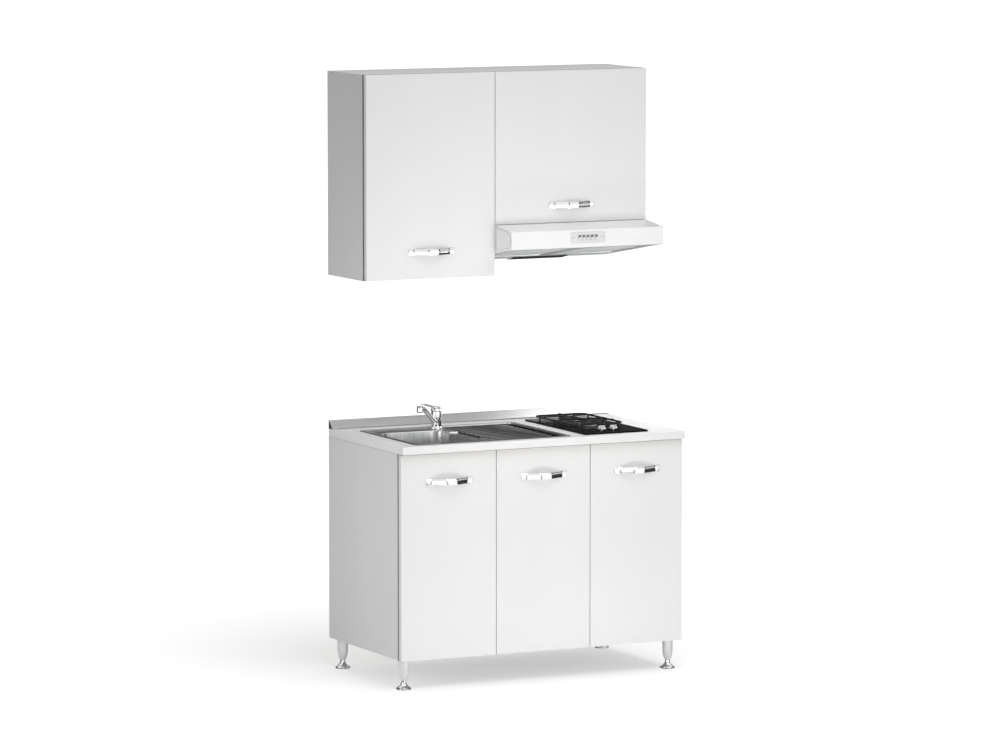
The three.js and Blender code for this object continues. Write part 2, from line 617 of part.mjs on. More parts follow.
function tapBody() {
  return turned([[0, -45], [9.5, -45], [9.5, GAP], [TAP_BASE_R, GAP], [TAP_BASE_R, 4], [TAP_COLUMN_R + 2, TAP_FLANGE],
    [TAP_CORE_R, TAP_FLANGE], [TAP_CORE_R, SLEEVE_TOP - GAP], [0, SLEEVE_TOP - GAP]]);
}

function tapSpout() {
  const sleeve = upright(TAP_COLUMN_R, TAP_FLANGE + 0.4, SLEEVE_TOP);
  const arm = hose([[2, 0, 20], [26, 0, 28], [72, 0, 56], [SPOUT_REACH - 18, 0, SPOUT_RISE - 8],
    [SPOUT_REACH, 0, SPOUT_RISE - 4]], SPOUT_R, 8, 8);
  const outlet = bar([SPOUT_REACH, 0, SPOUT_RISE + 5], [SPOUT_REACH + 3, 0, SPOUT_RISE - 18], SPOUT_R + 2, 18);
  const core = upright(TAP_CORE_R + 0.5, -10, SLEEVE_TOP + 10);
  const mouth = bar([SPOUT_REACH + 2.2, 0, SPOUT_RISE - 11], [SPOUT_REACH + 3.4, 0, SPOUT_RISE - 22], SPOUT_R - 1, 18);
  return cut(join(sleeve, arm, outlet), core, mouth);
}

function tapDome() {
  const steps = 7;
  const cap = Array.from({ length: steps }, (_, i) => {
    const a = (i / steps) * (Math.PI / 2);
    return [TAP_COLUMN_R * Math.cos(a), DOME_CENTRE + TAP_COLUMN_R * Math.sin(a)];
  });
  return turned([[0, SLEEVE_TOP + 0.6], [TAP_COLUMN_R, SLEEVE_TOP + 0.6], ...cap, [0, DOME_CENTRE + TAP_COLUMN_R]]);
}

// A spherical cap over the dome, with a paddle that widens towards its tip
function tapLever() {
  const centred = (r) => solid(new THREE.SphereGeometry(r, 18, 12).rotateX(Math.PI / 2).translate(0, 0, DOME_CENTRE));
  const cap = cut(centred(TAP_COLUMN_R + 4.2), centred(TAP_COLUMN_R + 0.8),
    block(-40, 40, -40, 40, DOME_CENTRE - 40, DOME_CENTRE + 7.5));
  const rise = THREE.MathUtils.degToRad(LEVER_SLOPE);
  const outline = polygon([[6, -LEVER_HALF], [LEVER_NECK, -LEVER_HALF], [LEVER_REACH - 4, -9], [LEVER_REACH + 2, -5],
    [LEVER_REACH + 2, 5], [LEVER_REACH - 4, 9], [LEVER_NECK, LEVER_HALF], [6, LEVER_HALF]]);
  const paddle = solid(extrude(outline, LEVER_THICK).rotateY(-rise).translate(0, 0, DOME_CENTRE + TAP_COLUMN_R - 5));
  return cut(join(cap, paddle), centred(TAP_COLUMN_R + 0.8));
}

add('tap_body', tapBody(), CHROME, tap);
add('tap_spout', tapSpout(), CHROME, tap);
add('tap_dome', tapDome(), CHROME, tap);
add('tap_lever', tapLever(), CHROME, tap);

// ---------------------------------------------------------------- hob

const STEM_HOLE_R = STEM_R + 1.5;
const BURNER_NECK_R = 16;

function hobGlass() {
  const plate = alongZ(roundedRect(HOB_X, HOB_Y, HOB_X + HOB_WIDTH, HOB_Y + HOB_DEPTH, HOB_CORNER),
    WORKTOP_Z + GAP, GLASS_Z);
  return cut(plate,
    ...BURNERS.map(({ x, y }) => upright(BURNER_NECK_R + 0.5, WORKTOP_Z, GLASS_Z + 1, 16)
      .translate([HOB_X + x, HOB_Y + y, 0])),
    ...KNOBS.map(({ x }) => upright(STEM_HOLE_R, WORKTOP_Z, GLASS_Z + 1, 16)
      .translate([HOB_X + x, HOB_Y + KNOB_FRONT, 0])));
}

function hobTray() {
  const inset = HOB_BOX_INSET;
  const bounds = (d) => [HOB_X + inset + d, HOB_X + HOB_WIDTH - inset - d,
    HOB_Y + inset + d, HOB_Y + HOB_DEPTH - inset - d];
  const top = WORKTOP_Z;
  return cut(block(...bounds(0), top - HOB_BOX_DEEP, top), block(...bounds(SHEET), top - HOB_BOX_DEEP + SHEET, top + 1));
}

function burner(r) {
  const z = GAP;
  return turned([[0, -24], [BURNER_NECK_R, -24], [BURNER_NECK_R, z], [r + 3, z], [r + 3, z + 3], [r - 3, z + 4.5],
    [r - 3, BURNER_HIGH - 3], [r, BURNER_HIGH - 2], [r, BURNER_HIGH], [0, BURNER_HIGH]]);
}

function burnerCap(r) {
  const z = BURNER_HIGH + GAP;
  return turned([[0, z], [r + 1, z], [r + 1, z + 3], [r - 2, z + CAP_HIGH], [0, z + CAP_HIGH]]);
}

add('hob_glass', hobGlass(), BLACK_GLASS);
add('hob_tray', hobTray(), STEEL);
for (const { name, x, y, r } of BURNERS) {
  const ring = groupAt(HOB_X + x, HOB_Y + y, GLASS_Z);
  add(`hob_burner_${name}`, burner(r), ALUMINIUM, ring);
  add(`hob_cap_${name}`, burnerCap(r), BLACK_ENAMEL, ring);
}

// A rounded frame on six short feet, with four fingers towards each burner
function panSupport() {
  const { left, front, width, depth, corner } = SUPPORT;
  const x0 = HOB_X + left;
  const y0 = HOB_Y + front;
  const frameTop = GLASS_Z + SUPPORT_HIGH - 3;
  const frameBottom = frameTop - SUPPORT_BAR;
  const ring = (d) => roundedRect(x0 + d, y0 + d, x0 + width - d, y0 + depth - d, corner - d);
  const frame = cut(alongZ(ring(0), frameBottom, frameTop),
    alongZ(ring(SUPPORT_BAR), frameBottom - 1, frameTop + 1));
  const midY = HOB_Y + (BURNERS[0].y + BURNERS[1].y) / 2;
  const cross = block(x0 + 2, x0 + width - 2, midY - 3, midY + 3, frameBottom, frameTop);
  const reach = 17;
  const overCaps = GLASS_Z + BURNER_HIGH + CAP_HIGH + SUPPORT_CLEAR;
  const fingers = BURNERS.flatMap(({ x, y }) => {
    const cx = HOB_X + x;
    const cy = HOB_Y + y;
    const blade = (ax, bx, ay, by) => block(Math.min(ax, bx), Math.max(ax, bx), Math.min(ay, by), Math.max(ay, by),
      overCaps, GLASS_Z + SUPPORT_HIGH);
    return [
      blade(x0 + 2, cx - reach, cy - 2.5, cy + 2.5),
      blade(cx + reach, x0 + width - 2, cy - 2.5, cy + 2.5),
      blade(cx - 2.5, cx + 2.5, cy > midY ? midY : y0 + 2, cy - reach),
      blade(cx - 2.5, cx + 2.5, cy + reach, cy > midY ? y0 + depth - 2 : midY),
    ];
  });
  const inset = SUPPORT_BAR / 2;
  const feet = [inset, width - inset].flatMap((dx) => [44, depth / 2, depth - 44].map((dy) =>
    upright(SUPPORT_BAR / 2, GLASS_Z + GAP, frameBottom + 1, 10).translate([x0 + dx, y0 + dy, 0])));
  return join(frame, cross, ...fingers, ...feet);
}
add('pan_support', panSupport(), BLACK_ENAMEL);

function knob() {
  const z = KNOB_TRAVEL;
  const round = turned([[0, z], [KNOB_R, z], [KNOB_R, z + 3], [KNOB_R - 3, z + 5.5], [KNOB_R - 4, z + 7], [0, z + 7]]);
  const grip = block(-KNOB_R + 3, KNOB_R - 3, -4, 4, z + 5, z + KNOB_HIGH);
  return cut(join(round, grip), upright(STEM_R + 0.5, z - 1, z + 8, 16));
}

function knobStem() {
  return upright(STEM_R, -34, KNOB_TRAVEL + 7.5, 16);
}

for (const { name, x } of KNOBS) {
  const place = groupAt(HOB_X + x, HOB_Y + KNOB_FRONT, GLASS_Z);
  add(`hob_knob_${name}`, knob(), CHROME, place);
  add(`hob_stem_${name}`, knobStem(), STEEL, place);
}

// ---------------------------------------------------------------- wall cabinets

const SHELF_DEPTH_SETBACK = 20;
const SCREW_REAR = 34;           // side screws' axes in front of the wall
const SCREW_FRONT = 223;
const WALL_BACK_Y = WALL_Y - 12 - WALL_BACK;

function wallCarcass(x0, x1, z0, z1) {
  const outer = block(x0, x1, WALL_CARCASS_Y, WALL_Y, z0, z1);
  const inner = block(x0 + WALL_BOARD, x1 - WALL_BOARD, WALL_CARCASS_Y - 1, WALL_Y + 1,
    z0 + WALL_BOARD, z1 - WALL_BOARD);
  return cut(outer, inner);
}

const wallBack = (x0, x1, z0, z1) => block(x0 + WALL_BOARD + GAP, x1 - WALL_BOARD - GAP,
  WALL_BACK_Y, WALL_BACK_Y + WALL_BACK, z0 + WALL_BOARD + GAP, z1 - WALL_BOARD - GAP);

const hingeZs = (bottom, top) => [bottom + HINGE_END, top - HINGE_END];

const WALL_SHELF_Z = UNDERSIDE_HEIGHT + WALL_HEIGHT / 2;
const LEFT_UNIT = [LEFT_X, SPLIT_X - GAP / 2, UNDERSIDE_HEIGHT, WALL_TOP];
const RIGHT_UNIT = [SPLIT_X + GAP / 2, RIGHT_X, RIGHT_BOTTOM, WALL_TOP];

function leftWallUnit() {
  const [x0, x1, z0, z1] = LEFT_UNIT;
  const pinYs = [WALL_CARCASS_Y + 60, WALL_BACK_Y - 40];
  const pinZ = WALL_SHELF_Z - 2.5 - GAP;
  const screwZ = z1 - WALL_BOARD / 2;
  const screws = [WALL_Y - SCREW_REAR, WALL_Y - SCREW_FRONT].map((y) => bar([x0 - 1, y, screwZ], [x0 + 4, y, screwZ], 3.5, 14));
  return cut(join(wallCarcass(x0, x1, z0, z1),
    ...hingeZs(LEFT_DOOR_BOTTOM, WALL_DOOR_TOP).map((z) => hingeArm(x0 + WALL_BOARD, 1, WALL_CARCASS_Y, z)),
    ...shelfPins(x0 + WALL_BOARD, 1, pinYs, pinZ),
    ...shelfPins(x1 - WALL_BOARD, -1, pinYs, pinZ)), ...screws);
}

function rightWallUnit() {
  const [x0, x1, z0, z1] = RIGHT_UNIT;
  return join(wallCarcass(x0, x1, z0, z1),
    ...hingeZs(RIGHT_DOOR_BOTTOM, WALL_DOOR_TOP).map((z) => hingeArm(x1 - WALL_BOARD, -1, WALL_CARCASS_Y, z)));
}

add('wall_left_carcass', leftWallUnit(), WHITE_BOARD);
add('wall_left_back', wallBack(...LEFT_UNIT), WHITE_BOARD);
add('wall_left_shelf', block(LEFT_UNIT[0] + WALL_BOARD + GAP, LEFT_UNIT[1] - WALL_BOARD - GAP,
  WALL_CARCASS_Y + SHELF_DEPTH_SETBACK, WALL_BACK_Y - GAP, WALL_SHELF_Z, WALL_SHELF_Z + WALL_BOARD), WHITE_BOARD);
add('wall_right_carcass', rightWallUnit(), WHITE_BOARD);
add('wall_right_back', wallBack(...RIGHT_UNIT), WHITE_BOARD);

// ---------------------------------------------------------------- extractor hood

const FILTER_Y0 = HOOD_FRONT_Y + FILTER_FRONT;
const FILTER_Y1 = FILTER_Y0 + FILTER_LONG;
const PLATE_Z = HOOD_FACE_TOP - PLATE_DROP;
const FILTER_SPANS = [
  ['left', HOOD_X0 + FILTER_SIDE, HOOD_MID_X - FILTER_BAR / 2],
  ['right', HOOD_MID_X + FILTER_BAR / 2, HOOD_X1 - FILTER_SIDE],
];

const plateOutline = (d) => roundedRect(HOOD_MID_X - PLATE_WIDTH / 2 - d, PLATE_Z - PLATE_HIGH / 2 - d,
  HOOD_MID_X + PLATE_WIDTH / 2 + d, PLATE_Z + PLATE_HIGH / 2 + d, 7 + d);

// Points of the hood's side outline, drawn in by d
const hoodOutline = (d) => {
  const rear = WALL_Y - GAP - d;
  const front = HOOD_FRONT_Y + d;
  const visor = WALL_FACE_Y - 4;
  return polygon([
    [rear, HOOD_TOP - d], [visor, HOOD_TOP - d], [front, HOOD_FACE_TOP - d],
    [front, HOOD_FACE_BOTTOM + d], [rear, undersideZ(WALL_Y - GAP) + d],
  ]);
};

function hoodShell() {
  const shell = cut(alongX(hoodOutline(0), HOOD_X0, HOOD_X1),
    alongX(hoodOutline(HOOD_SHEET), HOOD_X0 + HOOD_SHEET, HOOD_X1 - HOOD_SHEET));
  const mouths = FILTER_SPANS.map(([, x0, x1]) =>
    block(x0, x1, FILTER_Y0, FILTER_Y1, undersideZ(WALL_Y) - 10, HOOD_FACE_BOTTOM + 8));
  const window = alongY(plateOutline(GAP + 0.2), HOOD_FRONT_Y - 1, HOOD_FRONT_Y + HOOD_SHEET + 1);
  // the moulded panel sunk into the visible part of each cheek
  const cheek = [
    [HOOD_FRONT_Y + 12, HOOD_FACE_TOP - 12], [HOOD_FRONT_Y + 12, HOOD_FACE_BOTTOM + 12],
    [HOOD_FRONT_Y + 66, HOOD_FACE_BOTTOM - 2], [WALL_FACE_Y - 8, undersideZ(WALL_FACE_Y) + 14],
    [WALL_FACE_Y - 8, HOOD_TOP - 14], [HOOD_FRONT_Y + 66, HOOD_FACE_TOP - 4],
  ];
  const sunk = alongX(polygon(cheek), HOOD_X0 - 1, HOOD_X0 + 1);
  const sunkRight = alongX(polygon(cheek), HOOD_X1 - 1, HOOD_X1 + 1);
  return cut(shell, ...mouths, window, sunk, sunkRight);
}
add('hood_shell', hoodShell(), WHITE_ENAMEL);

// A slab that follows the sloping underside, from d0 to d1 above it
const slopingSlab = (x0, x1, y0, y1, d0, d1) => alongX(polygon([
  [y0, undersideZ(y0) + d0], [y1, undersideZ(y1) + d0],
  [y1, undersideZ(y1) + d1], [y0, undersideZ(y0) + d1]]), x0, x1);

// Filters lie level with the underside and swing down about their rear edges: a frame round a thin mesh
for (const [side, x0, x1] of FILTER_SPANS) {
  const clear = 1.2;
  const bounds = (d) => [x0 + clear + d, x1 - clear - d, FILTER_Y0 + clear + d, FILTER_Y1 - clear - d];
  const meshLow = 2.5;
  add(`hood_filter_${side}`, cut(slopingSlab(...bounds(0), 0, FILTER_THICK),
    slopingSlab(...bounds(FILTER_RIM), -1, meshLow),
    slopingSlab(...bounds(FILTER_RIM), meshLow + FILTER_MESH, FILTER_THICK + 1)), FILTER_GREY);
}

const buttonX = (i) => HOOD_MID_X + (i - (BUTTONS - 1) / 2) * BUTTON_PITCH;

function controlPlate() {
  const back = HOOD_FRONT_Y + 4;
  const plate = alongY(plateOutline(0), HOOD_FRONT_Y + 1, back, 3);
  const slots = Array.from({ length: BUTTONS }, (_, i) => block(
    buttonX(i) - BUTTON_WIDE / 2 - 0.5, buttonX(i) + BUTTON_WIDE / 2 + 0.5, HOOD_FRONT_Y - 5, back + 1,
    PLATE_Z - BUTTON_HIGH / 2 - 0.5, PLATE_Z + BUTTON_HIGH / 2 + 0.5));
  const lamps = [-1, 1].map((side) => bar([HOOD_MID_X + side * 51, HOOD_FRONT_Y + 2, PLATE_Z],
    [HOOD_MID_X + side * 51, HOOD_FRONT_Y + 0.3, PLATE_Z], 2, 8));
  return join(cut(plate, ...slots), ...lamps);
}
add('hood_control_plate', controlPlate(), WHITE_PLASTIC);

// A push switch with a scooped face, proud of the plate
function button() {
  const half = BUTTON_HIGH / 2;
  const face = polygon([[-BUTTON_OUT, half - 2], [-BUTTON_OUT + 1.5, half], [9, half], [9, -half],
    [-BUTTON_OUT + 1.5, -half], [-BUTTON_OUT, -half + 2], [-BUTTON_OUT + 1.2, 0]]);
  return alongX(face, -BUTTON_WIDE / 2, BUTTON_WIDE / 2);
}
for (let i = 0; i < BUTTONS; i += 1) {
  const place = groupAt(buttonX(i), HOOD_FRONT_Y + 1, PLATE_Z);
  add(`hood_button_${i + 1}`, button(), GREY_PLASTIC, place);
}

function lampCover() {
  const y1 = WALL_Y - LAMP.rear;
  const y0 = y1 - LAMP.depth;
  const top = (y) => undersideZ(y) - GAP;
  return alongX(polygon([[y0, top(y0)], [y0 + 8, top(y0) - LAMP.down], [y1 - 8, top(y1) - LAMP.down], [y1, top(y1)]]),
    HOOD_MID_X - LAMP.width / 2, HOOD_MID_X + LAMP.width / 2);
}
add('hood_lamp_cover', lampCover(), WHITE_PLASTIC);

export default kitchenette;
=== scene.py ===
"""Visible pieces and finishes of a kitchenette unit: base cabinet with sink and hob, wall cabinets and hood.

Metres, +Z up, the doors face -Y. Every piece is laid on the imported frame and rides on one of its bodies.
"""

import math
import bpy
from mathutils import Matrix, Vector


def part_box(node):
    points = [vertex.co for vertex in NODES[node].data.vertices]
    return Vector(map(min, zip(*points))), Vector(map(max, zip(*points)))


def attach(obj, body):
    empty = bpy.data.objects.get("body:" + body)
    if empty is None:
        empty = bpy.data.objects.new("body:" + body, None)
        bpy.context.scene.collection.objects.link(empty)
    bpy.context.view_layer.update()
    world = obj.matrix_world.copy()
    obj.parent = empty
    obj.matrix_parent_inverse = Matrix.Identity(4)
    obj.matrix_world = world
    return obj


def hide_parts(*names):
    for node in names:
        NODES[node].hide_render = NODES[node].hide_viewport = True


bl_info = {
    "name": "Kitchenette Unit",
    "version": (1, 0, 0),
    "blender": (4, 5, 0),
    "location": "3D View > Sidebar > Kitchenette",
    "description": "Builds the visible pieces and finishes of a kitchenette unit with a sink and a hob",
    "category": "Object",
}

import bpy
from bpy.props import FloatProperty, FloatVectorProperty, IntProperty, PointerProperty
from mathutils import Matrix, Vector

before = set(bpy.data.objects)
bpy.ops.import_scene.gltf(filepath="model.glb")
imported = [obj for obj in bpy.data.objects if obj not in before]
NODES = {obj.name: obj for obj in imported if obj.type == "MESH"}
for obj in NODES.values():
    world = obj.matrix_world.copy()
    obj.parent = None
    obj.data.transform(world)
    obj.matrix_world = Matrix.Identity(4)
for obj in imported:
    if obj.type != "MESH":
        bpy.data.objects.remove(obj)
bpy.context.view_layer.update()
MM = 0.001
# lengths closer than this are the same
SAME = 1e-9


# ---------------------------------------------------------------- settings

def colour(name, description, default):
    return FloatVectorProperty(name=name, description=description, subtype="COLOR", size=3,
                               min=0.0, max=1.0, default=default)


def length(name, description, default):
    return FloatProperty(name=name, description=description, subtype="DISTANCE", unit="LENGTH",
                         min=0.0, default=default)


def power(name, description, default):
    return FloatProperty(name=name, description=description, subtype="POWER", unit="POWER", default=default)


class KitchenetteColours(bpy.types.PropertyGroup):
    """Base colours of the finishes, as linear values"""
    board: colour("Board", "Melamine faces of the carcass boards", (0.76, 0.76, 0.755))
    door: colour("Door", "Laminate of the doors", (0.86, 0.86, 0.855))
    worktop: colour("Worktop", "Laminate of the worktop", (0.88, 0.88, 0.875))
    chipboard: colour("Chipboard", "Bare board edges that no banding covers", (0.46, 0.34, 0.22))
    leg: colour("Leg", "Satin legs", (0.96, 0.96, 0.965))
    chrome: colour("Chrome", "Handles, tap, knobs and feet", (0.80, 0.80, 0.81))
    knob: colour("Knob", "Darker chrome of the hob knobs", (0.46, 0.46, 0.47))
    strip: colour("Strip", "Aluminium backsplash strip", (0.54, 0.545, 0.55))
    steel: colour("Steel", "Pressed sink and strainer", (0.60, 0.61, 0.62))
    # darker than the deck's steel: painted shade inside the bowl
    bowl: colour("Bowl", "Drawn walls and floor of the bowl", (0.50, 0.505, 0.51))
    # painted dark reflection in the low places of the drainer
    drainer: colour("Drainer", "Low places of the ribbed drainer", (0.095, 0.096, 0.098))
    glass: colour("Hob glass", "Tempered glass of the hob", (0.006, 0.006, 0.007))
    burner: colour("Burner", "Cast aluminium burner rings", (0.55, 0.55, 0.56))
    enamel: colour("Black enamel", "Burner caps and pan support", (0.012, 0.012, 0.013))
    hood: colour("Hood", "White enamelled hood", (0.92, 0.92, 0.915))
    filter: colour("Filter", "Aluminium mesh of the hood filters", (0.80, 0.82, 0.83))
    white_plastic: colour("White plastic", "Control plate, waste and trap", (0.80, 0.80, 0.79))
    # grey plastic of the pilot lamps, backsplash seal and temperature mark, also used as painted shade on the
    # upper half of each push switch's front
    grey_plastic: colour("Grey plastic", "Push switches", (0.20, 0.205, 0.21))
    # zinc of hinges, screws and the box under the hob, also used as painted shade in the hood's cheek grooves
    # and round the control plate
    zinc: colour("Zinc", "Hinges, screws and the steel box under the hob", (0.45, 0.45, 0.46))


class KitchenetteEdges(bpy.types.PropertyGroup):
    """Edge roundings and the fineness of round pieces"""
    board: length("Board edge", "Rounding of the carcass boards' edges", 0.5 * MM)
    door: length("Door edge", "Rounding of the doors' edges", 1.2 * MM)
    worktop: length("Worktop edge", "Rounding of the worktop's edges", 2.2 * MM)
    handle: length("Handle edge", "Rounding along the handles' straps", 0.9 * MM)
    hood: length("Hood edge", "Rounding of the hood's folds", 0.9 * MM)
    round_sides: IntProperty(name="Round sides", description="Sides of a turned piece", min=16, default=56)


class KitchenetteStage(bpy.types.PropertyGroup):
    """Camera and studio"""
    lens: FloatProperty(name="Lens", description="Focal length on a 36 mm wide sensor",
                        subtype="DISTANCE_CAMERA", unit="CAMERA", default=192.4)
    key: power("Key light", "Power of the large light in front on the right", 6.5)
    low: power("Floor light", "Power of the low strip in front of the doors", 4.0)
    high: power("High light", "Power of the light in front at the height of the wall cabinets", 1.6)
    fill: power("Fill light", "Power of the light overhead", 68.0)
    side: power("Side light", "Power of the low light on the left", 3.1)
    worktop: power("Worktop light", "Power of the light over the worktop's right end", 2.0)
    air: FloatProperty(name="Air", description="Strength of the even light from all round", default=0.50)
    floor: colour("Floor", "Pale studio floor", (0.80, 0.80, 0.80))


# ---------------------------------------------------------------- shaping by hand

def clear_selection():
    if bpy.context.mode != "OBJECT":
        bpy.ops.object.mode_set(mode="OBJECT")
    bpy.ops.object.select_all(action="DESELECT")


def take(piece):
    clear_selection()
    piece.select_set(True)
    bpy.context.view_layer.objects.active = piece
    return piece


def named(name):
    piece = bpy.context.active_object
    piece.name = name
    piece.data.name = name
    return piece


def edit_all(piece):
    """Goes into edit mode with the whole mesh selected."""
    take(piece)
    bpy.ops.object.mode_set(mode="EDIT")
    bpy.ops.mesh.select_all(action="SELECT")


def leave_edit():
    bpy.ops.object.mode_set(mode="OBJECT")


def settle(piece):
    """Leaves edit mode and puts the piece's place into its mesh."""
    take(piece)
    bpy.ops.object.transform_apply(location=True, rotation=True, scale=True)
    return piece


def put(piece, place=(0, 0, 0), bend=None):
    """Turns a piece that was made about the origin, and moves it to its place."""
    if bend is not None:
        piece.matrix_world = bend
        settle(piece)
    piece.location = place
    return settle(piece)


def tilt(degrees, axis):
    return Matrix.Rotation(math.radians(degrees), 4, axis)


def pick_faces(piece, test):
    """Selects the faces whose centre and normal pass the test, and stays in edit mode."""
    take(piece)
    mesh = piece.data
    mesh.vertices.foreach_set("select", [False] * len(mesh.vertices))
    mesh.edges.foreach_set("select", [False] * len(mesh.edges))
    mesh.polygons.foreach_set("select", [test(f.center, f.normal) for f in mesh.polygons])
    bpy.ops.object.mode_set(mode="EDIT")
    bpy.ops.mesh.select_mode(type="FACE")


def draw_out(x, y, z):
    """Draws the selected faces out."""
    bpy.ops.mesh.extrude_region_move(TRANSFORM_OT_translate={"value": (x, y, z)})


def step_in(thickness, depth):
    """Insets the selected faces as one region and raises or lowers them."""
    bpy.ops.mesh.inset(thickness=thickness, depth=depth, use_boundary=True, use_even_offset=True)


def step_each(thickness, depth):
    """Insets the selected faces one by one and raises or sinks them."""
    bpy.ops.mesh.inset(thickness=thickness, depth=depth, use_individual=True)
    leave_edit()


def upward(at, normal):
    return normal.z > 0.9


def to_the_right(at, normal):
    return normal.x > 0.9


def outward(piece):
    edit_all(piece)
    bpy.ops.mesh.normals_make_consistent(inside=False)
    leave_edit()
    return piece


def apply_modifier(piece, kind, **settings):
    take(piece)
    bpy.ops.object.modifier_add(type=kind)
    modifier = piece.modifiers[-1]
    for key, value in settings.items():
        setattr(modifier, key, value)
    bpy.ops.object.modifier_apply(modifier=modifier.name)
    return piece


def round_edges(piece, width, segments=2, angle=32):
    if width > 0:
        apply_modifier(piece, "BEVEL", width=width, segments=segments, limit_method="ANGLE",
                       angle_limit=math.radians(angle), miter_outer="MITER_ARC")
    return piece


def smooth(piece, angle=32):
    take(piece)
    bpy.ops.object.shade_smooth_by_angle(angle=math.radians(angle))
    return piece


def brick(name, low, high):
    """A block between two corners, as the start of a piece."""
    clear_selection()
    low, high = Vector(low), Vector(high)
    bpy.ops.mesh.primitive_cube_add(size=1, location=(low + high) / 2, scale=high - low)
    return settle(named(name))


def in_mm(*steps, r=0.0, z=0.0):
    """Steps of (radius, height) in millimetres, counted from a radius and a height in metres."""
    return [(r + radius * MM, z + height * MM) for radius, height in steps]


def turned(name, profile, place=(0, 0, 0), sides=None, bend=None):
    """A round piece: a disc drawn up and scaled at each step of (radius, height), from its underside."""
    clear_selection()
    sides = sides or bpy.context.scene.kitchenette_edges.round_sides
    radius, height = profile[0]
    bpy.ops.mesh.primitive_circle_add(vertices=sides, radius=radius, fill_type="NGON",
                                      location=(0, 0, height))
    piece = settle(named(name))
    edit_all(piece)
    for (r0, z0), (r1, z1) in zip(profile, profile[1:]):
        draw_out(0, 0, z1 - z0)
        if abs(r1 - r0) > SAME:
            bpy.ops.transform.resize(value=(r1 / r0, r1 / r0, 1), center_override=(0, 0, z1))
    return smooth(put(outward(piece), place, bend), 28)


def drawn(name, points, radius, sides, shares_of_radius, steps):
    """A round bar along a smooth path, with the share of its radius at each point, made from a path curve."""
    clear_selection()
    bpy.ops.curve.primitive_nurbs_path_add(location=(0, 0, 0))
    piece = named(name)
    curve = piece.data
    curve.splines.clear()
    line = curve.splines.new("NURBS")
    line.points.add(len(points) - 1)
    for point, place, share in zip(line.points, points, shares_of_radius):
        point.co = (*place, 1.0)
        point.radius = share
    line.use_endpoint_u = True
    line.order_u = 4
    line.resolution_u = steps
    curve.dimensions = "3D"
    curve.bevel_depth = radius
    curve.bevel_resolution = max(1, sides // 4 - 1)
    curve.use_fill_caps = True
    take(piece)
    bpy.ops.object.convert(target="MESH")
    piece = named(name)
    edit_all(piece)
    bpy.ops.mesh.remove_doubles(threshold=0.001 * MM)
    bpy.ops.mesh.normals_make_consistent(inside=False)
    leave_edit()
    return smooth(piece, 40)


def copied(piece, name, shift):
    twin = bpy.data.objects.new(name, piece.data.copy())
    twin.data.name = name
    bpy.context.scene.collection.objects.link(twin)
    return put(twin, shift)


def joined(name, *pieces):
    """Several shapes of one piece made one object."""
    clear_selection()
    for piece in pieces:
        piece.select_set(True)
    bpy.context.view_layer.objects.active = pieces[0]
    bpy.ops.object.join()
    return named(name)


def from_solid(node, name, edge, segments=2, angle=32, pierced=False):
    """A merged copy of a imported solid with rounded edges; pierced faces keep the edges that divide them."""
    piece = bpy.data.objects.new(name, NODES[node].data.copy())
    piece.data.name = name
    piece.data.materials.clear()
    bpy.context.scene.collection.objects.link(piece)
    take(piece)
    if piece.data.has_custom_normals:
        bpy.ops.mesh.customdata_custom_splitnormals_clear()
    edit_all(piece)
    bpy.ops.mesh.remove_doubles(threshold=0.002 * MM)
    if not pierced:
        bpy.ops.mesh.dissolve_limited(angle_limit=math.radians(0.5))
    leave_edit()
    round_edges(piece, edge, segments, angle)
    smooth(piece, angle)
    if not pierced:
        # flat faces stay flat beside their rounded edges
        apply_modifier(piece, "WEIGHTED_NORMAL", keep_sharp=True)
    return piece


def paint(piece, finishes, test=None):
    """The first finish everywhere, or the one that the test numbers for a face's centre and normal."""
    piece.data.materials.clear()
    for name in finishes.split():
        piece.data.materials.append(FINISHES[name])
    piece.data.polygons.foreach_set(
        "material_index", [int(test(f.center, f.normal)) if test else 0 for f in piece.data.polygons])
    return piece


def lay(piece, finishes, body, slot, *nodes, test=None):
    """Finishes a piece and puts it on its body, in place of the solids that it stands for."""
    paint(piece, finishes, test)
    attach(piece, body)
    if nodes:
        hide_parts(*nodes)
    return piece


# ---------------------------------------------------------------- finishes

class Wires:
    """Nodes of one shader tree and the links between them."""

    def __init__(self, tree):
        self.tree = tree

    def add(self, kind, **settings):
        node = self.tree.nodes.new(kind)
        for key, value in settings.items():
            setattr(node, key, value)
        return node

    def link(self, source, target):
        self.tree.links.new(source, target)

    def feed(self, value, target):
        """Links an output to a socket, or sets the socket to a number."""
        if hasattr(value, "links"):
            self.link(value, target)
        else:
            target.default_value = value

    def span(self, value, low, high, to_low=0.0, to_high=1.0):
        node = self.add("ShaderNodeMapRange")
        for key, amount in zip(("From Min", "From Max", "To Min", "To Max"), (low, high, to_low, to_high)):
            node.inputs[key].default_value = amount
        self.link(value, node.inputs["Value"])
        return node.outputs["Result"]

    def calc(self, operation, first, second):
        node = self.add("ShaderNodeMath", operation=operation)
        self.feed(first, node.inputs[0])
        self.feed(second, node.inputs[1])
        return node.outputs[0]

    def between(self, factor, first, second):
        """A number between two others."""
        node = self.add("ShaderNodeMix")
        self.link(factor, node.inputs["Factor"])
        self.feed(first, node.inputs[2])
        self.feed(second, node.inputs[3])
        return node.outputs[0]

    def axes(self, vector):
        """The three outputs of a vector, by axis."""
        node = self.add("ShaderNodeSeparateXYZ")
        self.link(vector, node.inputs["Vector"])
        return node.outputs

    def shining(self, strength):
        node = self.add("ShaderNodeEmission")
        self.link(strength, node.inputs["Strength"])
        return node.outputs[0]


